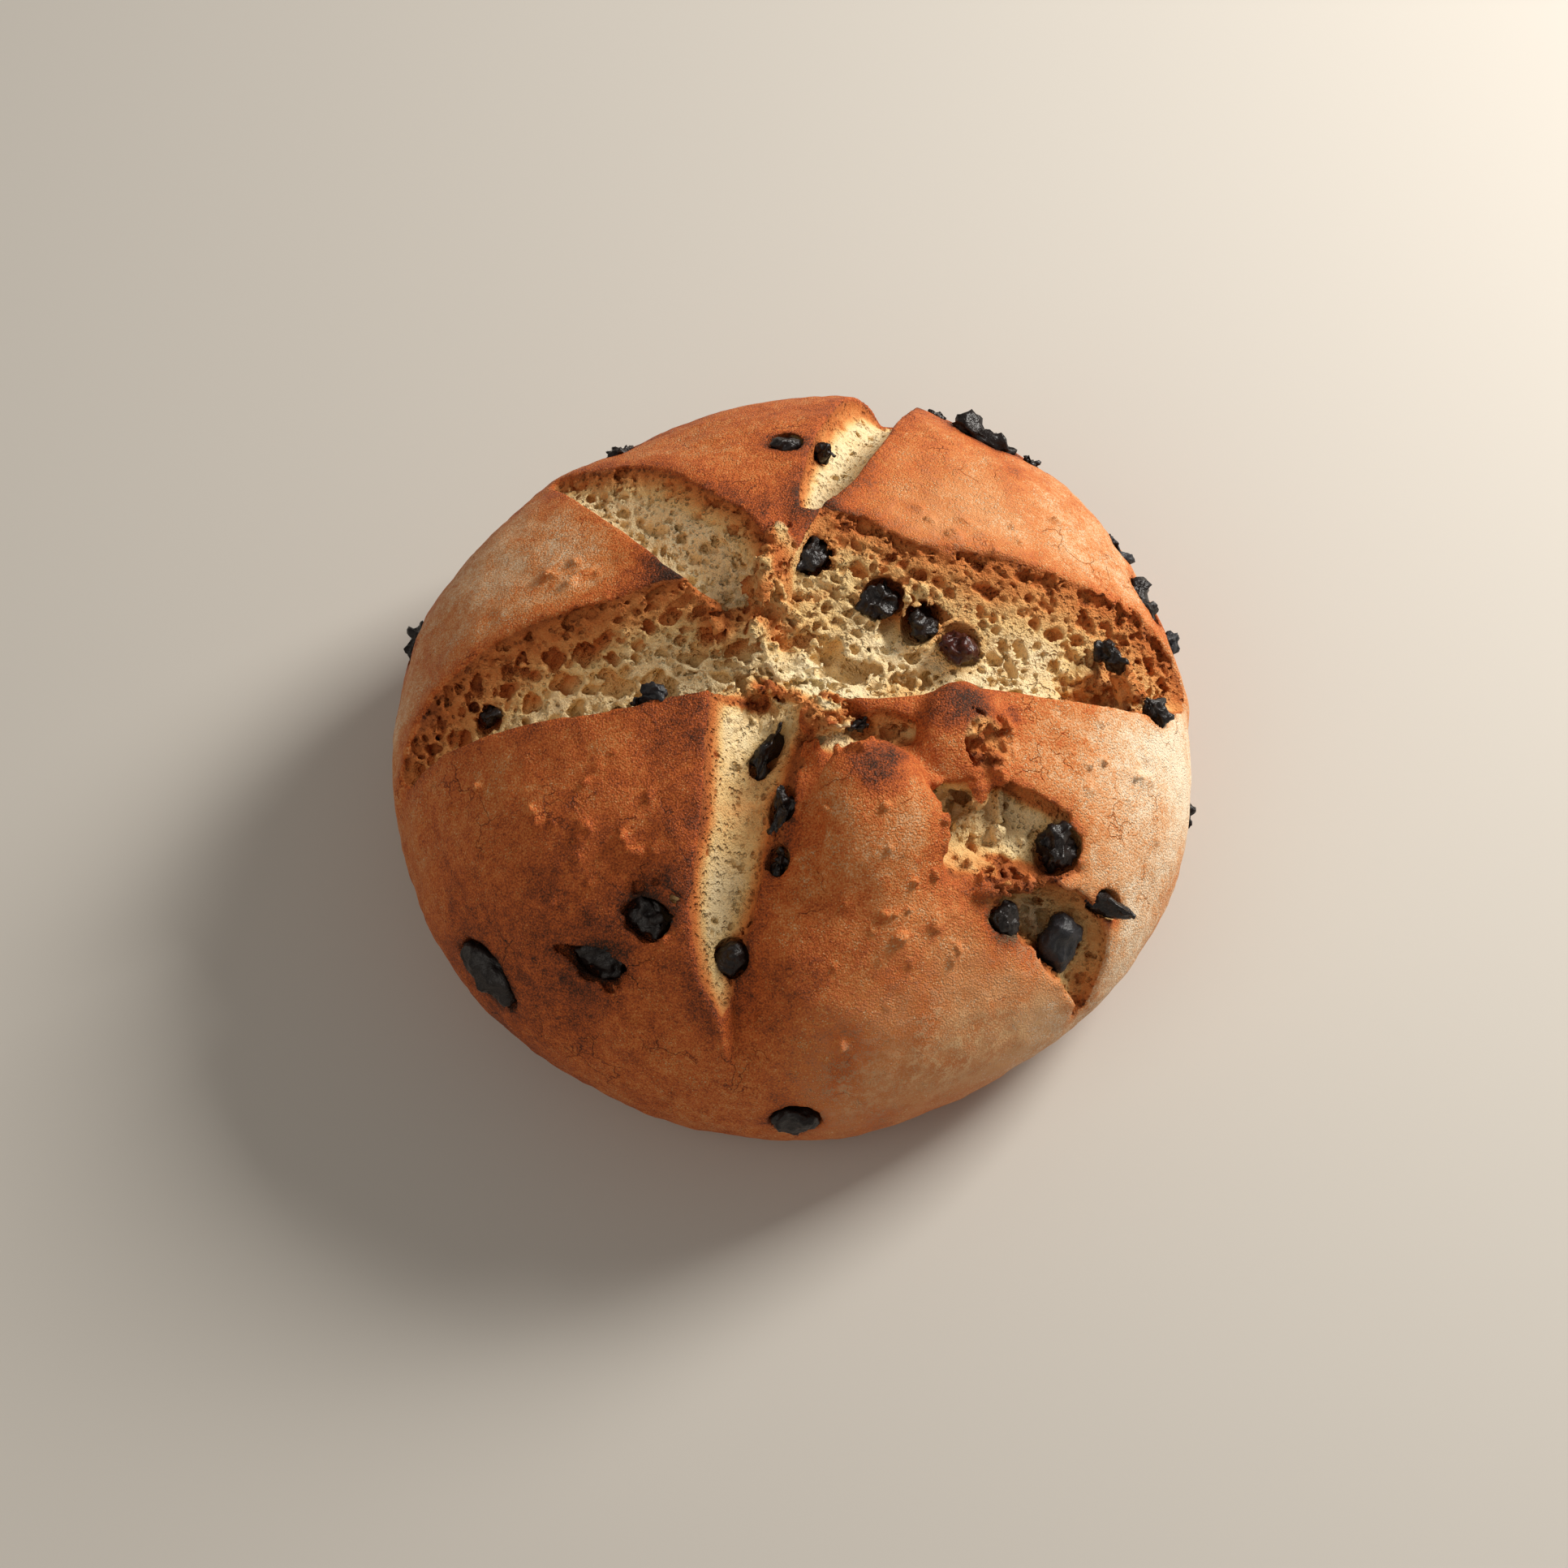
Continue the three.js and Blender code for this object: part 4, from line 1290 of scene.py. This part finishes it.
class CrustFinish:
    """Browned crust and torn crumb, told apart by values on the loaf's points."""

    CRUST = [(0.0, (250, 228, 198)), (0.2, (232, 184, 138)), (0.4, (216, 134, 70)), (0.57, (202, 100, 40)),
             (0.73, (156, 74, 32)), (0.88, (100, 50, 24)), (1.0, (56, 34, 22))]
    CRUMB = [(0.0, (252, 234, 190)), (0.3, (240, 202, 138)), (0.52, (226, 158, 92)), (0.72, (204, 118, 58)),
             (0.9, (142, 72, 34)), (1.0, (78, 38, 22))]
    FLOUR = (250, 212, 158)
    SPECKLE_MM, MOTTLE_MM, CLOUD_MM = 0.42, 2.6, 11.0
    SPECK_MM, CRACK_MM, PORE_MM = 0.6, 9.0, 1.2
    BUMP_MM = 0.75

    def build(self) -> bpy.types.Material:
        """Makes the material.

        Returns:
            The material.
        """
        t = ShaderTree("crust_and_crumb")
        speckle, mottle = t.noise(self.SPECKLE_MM, 2.0), t.noise(self.MOTTLE_MM, 6.0, 0.7)
        patchy = t.noise(self.CLOUD_MM, 3.0)
        # Pale specks on the crust: small blisters, and painted glints for the crust's fine sparkle.
        blisters_and_glints = t.cells(self.SPECK_MM).ease(0.4, 0.15) * t.noise(5.0).ease(0.35, 0.62)
        cracks = t.cells(self.CRACK_MM, t.warped(3.0, 5.0), CellMeasure.EDGE).ease(0.022, 0.0)
        cracks *= t.noise(14.0).ease(0.53, 0.66)
        bake = t.attribute("bake") + patchy.ease(0.4, 0.7) * 0.13 - 0.05
        bake = bake + (mottle - 0.5) * 0.62 + (speckle - 0.5) * 0.75
        crust = (bake - blisters_and_glints * 0.22 + cracks * 0.2).ramp(self.CRUST)
        flour = t.attribute("flour") * (mottle * 0.75 + speckle * 0.5).ease(0.56, 0.74)
        crust = t.mix(flour * 0.75, crust, srgb(*self.FLOUR))
        # The toast value also carries painted shade, inside sunk cells and on the bottom cut's floor.
        toast = t.attribute("toast") + (mottle - 0.5) * 0.35 + (speckle - 0.5) * 0.16 + (patchy - 0.5) * 0.3
        # Pores in the torn crumb: small pits in the bump, and painted shade that darkens the crumb inside
        # them.
        pores_and_shade = t.cells(self.PORE_MM, t.warped(1.5, 0.9)).ease(0.5, 0.12) * t.noise(3.5).ease(0.36, 0.6)
        torn = t.attribute("crumb").ease(0.3, 0.7)
        colour = t.mix(torn, crust, (toast + pores_and_shade * 0.1).ramp(self.CRUMB))
        grain = speckle * 0.7 + mottle * 0.6 + blisters_and_glints * 0.3 - cracks * 0.4 - torn * pores_and_shade * 1.2
        roughness = 0.6 + 0.24 * t.attribute("crumb")
        return t.finish(colour, roughness, grain, self.BUMP_MM, **{"Specular IOR Level": 0.25})


class Loaf:
    """The baked loaf, crust and crumb in one closed piece.

    Gas cells that undercut the surface can't be had from operators on a primitive, so the loaf is worked
    out as a field of depths in the dough and its surface is taken from that.
    """

    NAME = "baked_loaf"
    FINE_MM, QUICK_MM = 0.5, 1.0
    MOST_TRIANGLES = 190_000
    TOAST, MOST_TOAST = 0.09, 0.84
    # the last of these paints shade inside the crumb's cells
    WALL_TOAST, LIP_TOAST, SUNK_TOAST = 0.56, 0.26, 0.045
    LIP_INWARD, LIP_OUTWARD = 1.6, 2.5
    SUNK_FROM, SUNK_RANGE = 0.4, (-0.5, 2.4)
    BAKE, RIM_BAKE, RIM_REACH = 0.5, 0.14, 5.0
    HALO, HALO_REACH, RAISIN_HALF = 0.2, 1.6, 5

    def __init__(self, sheet: CrustSheet) -> None:
        """Keeps the crust map that the loaf is baked from."""
        self.sheet = sheet

    def build(self) -> bpy.types.Object:
        """Bakes the loaf's mesh and its finish.

        Returns:
            The loaf's object.
        """
        dough = DoughField(self.sheet, self.FINE_MM)
        LOG.info("dough field filled")
        Crumb(self.sheet, dough).tear()
        LOG.info("crumb torn")
        dough.roughen(Noise(5), Noise(8))
        points, quads = dough.surface()
        LOG.info("surface taken: %d faces", len(quads))
        piece = self._mesh(points, quads)
        self._thin(piece, len(quads) * 2)
        self._mark(piece.data)
        piece.data.materials.append(CrustFinish().build())
        return piece

    def _mesh(self, points: Array, quads: Array) -> bpy.types.Object:
        """Makes a mesh object at the origin.

        Args:
            points: one row a point, in millimetres.
            quads: four of their numbers a face.

        Returns:
            The object.
        """
        mesh = bpy.data.meshes.new(self.NAME)
        mesh.vertices.add(len(points))
        mesh.vertices.foreach_set("co", (points * MM).astype(np.float32).ravel())
        mesh.loops.add(quads.size)
        mesh.loops.foreach_set("vertex_index", quads.ravel().astype(np.int32))
        mesh.polygons.add(len(quads))
        mesh.polygons.foreach_set("loop_start", np.arange(0, quads.size, 4, dtype=np.int32))
        mesh.update(calc_edges=True)
        mesh.validate()
        piece = bpy.data.objects.new(self.NAME, mesh)
        bpy.context.scene.collection.objects.link(piece)
        return piece

    def _thin(self, piece: bpy.types.Object, triangles: int) -> None:
        """Draws the mesh down to no more than MOST_TRIANGLES triangles, smooth parts first.

        Args:
            piece: the loaf.
            triangles: how many it has.
        """
        bpy.ops.object.select_all(action="DESELECT")
        bpy.context.view_layer.objects.active = piece
        piece.select_set(True)
        if triangles > self.MOST_TRIANGLES:
            thin = piece.modifiers.new("thin", "DECIMATE")
            thin.ratio = self.MOST_TRIANGLES / triangles
            bpy.ops.object.modifier_apply(modifier=thin.name)
        bpy.ops.object.shade_smooth()

    def _mark(self, mesh: bpy.types.Mesh) -> None:
        """Keeps crumb, toast, bake and flour values on the points; the toast value also carries painted shade
        inside the crumb's cells and on the bottom cut's floor.

        Args:
            mesh: the loaf's mesh.
        """
        flat = np.empty(len(mesh.vertices) * 3, np.float32)
        mesh.vertices.foreach_get("co", flat)
        points = flat.reshape(-1, 3).astype(float) / MM
        crumb, u, v, depth = self.sheet.torn_share(points)
        bank = self.sheet.read(Layer.BANK, u, v)
        # Below a cut's floor, inside its cells, the crumb is darkened the deeper it sinks: painted shade.
        sunk = depth - self.sheet.read(Layer.FLOOR, u, v) - self.SUNK_FROM
        sunk = np.clip(sunk, *self.SUNK_RANGE) * (bank < 0)
        lip = np.exp(-np.where(depth > 0, depth / self.LIP_INWARD, -depth / self.LIP_OUTWARD))
        toast = self.TOAST + self.WALL_TOAST * self.sheet.read(Layer.TOAST, u, v) + patchwork(TOAST_AND_SHADE, u, v)
        toast += self.LIP_TOAST * lip + self.SUNK_TOAST * sunk
        rim = np.exp(-((np.maximum(bank, 0.0) / self.RIM_REACH) ** 2))
        bake = self.BAKE + patchwork(BROWNING, u, v) + self.RIM_BAKE * rim
        for raisin in RAISINS:
            middle, axes, half = raisin.body(self.sheet)
            gap = (np.linalg.norm((points - middle) @ axes / half, axis=-1) - 1) * self.RAISIN_HALF
            halo = self.HALO * np.exp(-((np.maximum(gap, 0.0) / self.HALO_REACH) ** 2))
            bake += halo
            toast += halo
        toast = np.minimum(toast, self.MOST_TOAST)
        values = {"crumb": crumb, "toast": toast, "bake": bake, "flour": patchwork(FLOURED, u, v)}
        for name, value in values.items():
            mesh.attributes.new(name, "FLOAT", "POINT").data.foreach_set("value", value.astype(np.float32))


# Sizes of the bloom's spots and of the folds on a raisin's skin, and how high the folds stand.
BLOOM_MM, FOLD_MM, WRINKLE_MM, FOLD_HIGH_MM = 1.6, 1.5, 0.4, 0.45


class RaisinSkin(Enum):
    """Finishes of a raisin's skin: base colour and roughness."""

    DARK = ((29, 22, 20), 0.34)
    BLOOMED = ((38, 38, 42), 0.48)
    RED = ((64, 26, 20), 0.3)

    def build(self) -> bpy.types.Material:
        """Makes the material.

        Returns:
            The material.
        """
        colour, roughness = self.value
        t = ShaderTree("raisin_" + self.name.lower())
        dust = t.noise(BLOOM_MM, 3.0).ease(0.6, 0.85)
        pale = tuple(min(255, c * 2 + 22) for c in colour)
        base = t.mix(dust * 0.6, srgb(*colour), srgb(*pale))
        folds = t.noise(FOLD_MM, 3.0, 0.6) * 0.7 + t.noise(WRINKLE_MM) * 0.3
        return t.finish(base, roughness + 0.2 * dust, folds, FOLD_HIGH_MM, IOR=1.45)


SKIN_OF = {4: RaisinSkin.RED} | {number: RaisinSkin.BLOOMED for number in (6, 14, 23, 25)}


class Crease(Enum):
    """How sharply the folds of a skin turn."""

    SOFT = "SOFT_NOISE"
    SHARP = "HARD_NOISE"


@dataclass(frozen=True)
class Fold:
    """One size of fold in a raisin's skin, in millimetres, with the level that stays where it is."""

    grain: float
    depth: float
    level: float
    crease: Crease = Crease.SOFT


@dataclass(frozen=True)
class Raisin:
    """One baked raisin, its skin drawn into folds."""

    name: str
    place: Lump
    skin: bpy.types.Material
    pointed: float = 0.0
    smooth: bool = False

    FOLDS = (Fold(6.0, 6.5, 0.56), Fold(3.0, 2.8, 0.55, Crease.SHARP), Fold(1.3, 1.0, 0.5))
    FINEST = 1.3
    SMOOTHED = 0.45

    def build(self, sheet: CrustSheet) -> bpy.types.Object:
        """Makes the raisin in its socket.

        Args:
            sheet: the crust that it is placed from.

        Returns:
            The raisin's object.
        """
        middle, axes, half = self.place.body(sheet)
        bpy.ops.object.select_all(action="DESELECT")
        bpy.ops.mesh.primitive_ico_sphere_add(subdivisions=4, radius=1.0)
        piece = bpy.context.object
        piece.name = self.name
        if self.pointed:
            taper = piece.modifiers.new("taper", "SIMPLE_DEFORM")
            taper.deform_method, taper.deform_axis, taper.factor = "TAPER", "Z", -self.pointed
            bpy.ops.object.modifier_apply(modifier=taper.name)
        size = Matrix.Diagonal(Vector(half * MM)).to_4x4()
        turn = Matrix(axes.tolist()).to_4x4()
        piece.matrix_world = Matrix.Translation(Vector(middle * MM)) @ turn @ size
        bpy.ops.object.transform_apply(location=True, rotation=True, scale=True)
        for fold in self.FOLDS:
            share = self.SMOOTHED if self.smooth and fold.grain > self.FINEST else 1.0
            texture = bpy.data.textures.new(f"{self.name}_{fold.grain}", "CLOUDS")
            texture.noise_scale, texture.noise_depth = fold.grain * MM, 1
            texture.noise_type = fold.crease.value
            drawn = piece.modifiers.new("fold", "DISPLACE")
            drawn.texture, drawn.texture_coords = texture, "GLOBAL"
            drawn.strength, drawn.mid_level = fold.depth * share * MM, fold.level
            bpy.ops.object.modifier_apply(modifier=drawn.name)
        bpy.ops.object.shade_smooth()
        piece.data.materials.append(self.skin)
        return piece


@dataclass(frozen=True)
class SoftLight:
    """A square soft light that looks at the loaf, in metres and watts."""

    name: str
    place: tuple[float, float, float]
    size: float
    power: float
    colour: tuple[float, float, float]

    def build(self) -> None:
        """Adds the light."""
        data = bpy.data.lights.new(self.name, "AREA")
        data.size, data.energy, data.color = self.size, self.power, self.colour
        light = bpy.data.objects.new(self.name, data)
        bpy.context.scene.collection.objects.link(light)
        light.location = self.place
        light.rotation_euler = (-Vector(self.place)).to_track_quat("-Z", "Y").to_euler()


@dataclass(frozen=True)
class Studio:
    """Camera, floor and lights."""

    target: tuple[float, float, float] = (-2.4, -7.1, 30.0)
    elevation_deg: float = 62.0
    distance: float = 800.0
    view_width: float = 355.0
    sensor: float = 36.0
    floor_size_m: float = 6.0
    floor_colour: tuple[int, int, int] = (205, 200, 192)
    sky_colour: tuple[float, float, float, float] = (1.0, 0.95, 0.89, 1)
    sky_strength: float = 0.2
    lights: tuple[SoftLight, ...] = (
        SoftLight("key", (0.665, 0.43, 0.58), 0.35, 11.6, (1.0, 0.96, 0.9)),
        SoftLight("fill", (-0.6, -0.6, 0.9), 0.9, 2.6, (1.0, 0.93, 0.83)),
    )

    def add_camera(self) -> None:
        """Sets the camera at the photograph's viewing angle."""
        data = bpy.data.cameras.new("camera")
        camera = bpy.data.objects.new("camera", data)
        bpy.context.scene.collection.objects.link(camera)
        bpy.context.scene.camera = camera
        tilt = math.radians(self.elevation_deg)
        back = Vector((0.0, -math.cos(tilt), math.sin(tilt)))
        camera.location = (Vector(self.target) + back * self.distance) * MM
        camera.rotation_euler = (-back).to_track_quat("-Z", "Y").to_euler()
        data.sensor_width = self.sensor
        data.lens = self.sensor * self.distance / self.view_width

    def add_floor(self) -> None:
        """Lays a plain pale floor."""
        bpy.ops.mesh.primitive_plane_add(size=self.floor_size_m, location=(0, 0, 0))
        floor = bpy.context.object
        floor.name = "floor"
        floor.data.materials.append(ShaderTree("pale_floor").finish(srgb(*self.floor_colour), 0.85))

    def add_sky(self) -> None:
        """Surrounds the scene with a faint even light."""
        world = bpy.data.worlds.new("studio")
        bpy.context.scene.world = world
        world.use_nodes = True
        sky = world.node_tree.nodes["Background"].inputs
        sky["Color"].default_value, sky["Strength"].default_value = self.sky_colour, self.sky_strength
        bpy.context.scene.view_settings.view_transform = "Standard"

    def build(self) -> None:
        """Sets up camera, floor, lights and sky."""
        self.add_camera()
        self.add_floor()
        for light in self.lights:
            light.build()
        self.add_sky()


def dress(piece: bpy.types.Object, node: str) -> None:
    """Ties a finished piece to the part.

    Args:
        piece: the piece.
        node: the solid that it stands for.
    """
    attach(piece, "root")
    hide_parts(node)
    LOG.info("%s: %d faces", piece.name, len(piece.data.polygons))


def main() -> None:
    """Builds the studio, the loaf and its raisins, and reports each piece."""
    logging.basicConfig(level=logging.INFO, format="%(relativeCreated)d ms %(message)s")
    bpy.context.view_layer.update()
    Studio().build()
    sheet = CrustSheet(Dome())
    LOG.info("crust map filled")
    dress(Loaf(sheet).build(), "loaf")
    skins = {skin: skin.build() for skin in RaisinSkin}
    for number, place in enumerate(RAISINS, 1):
        skin = skins[SKIN_OF.get(number, RaisinSkin.DARK)]
        name = f"dried_raisin_{number:02d}"
        raisin = Raisin(name, place, skin, POINTED.get(number, 0.0), number in SMOOTH)
        dress(raisin.build(sheet), f"raisin_{number:02d}")
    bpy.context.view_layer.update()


if __name__ == "__main__":
    main()
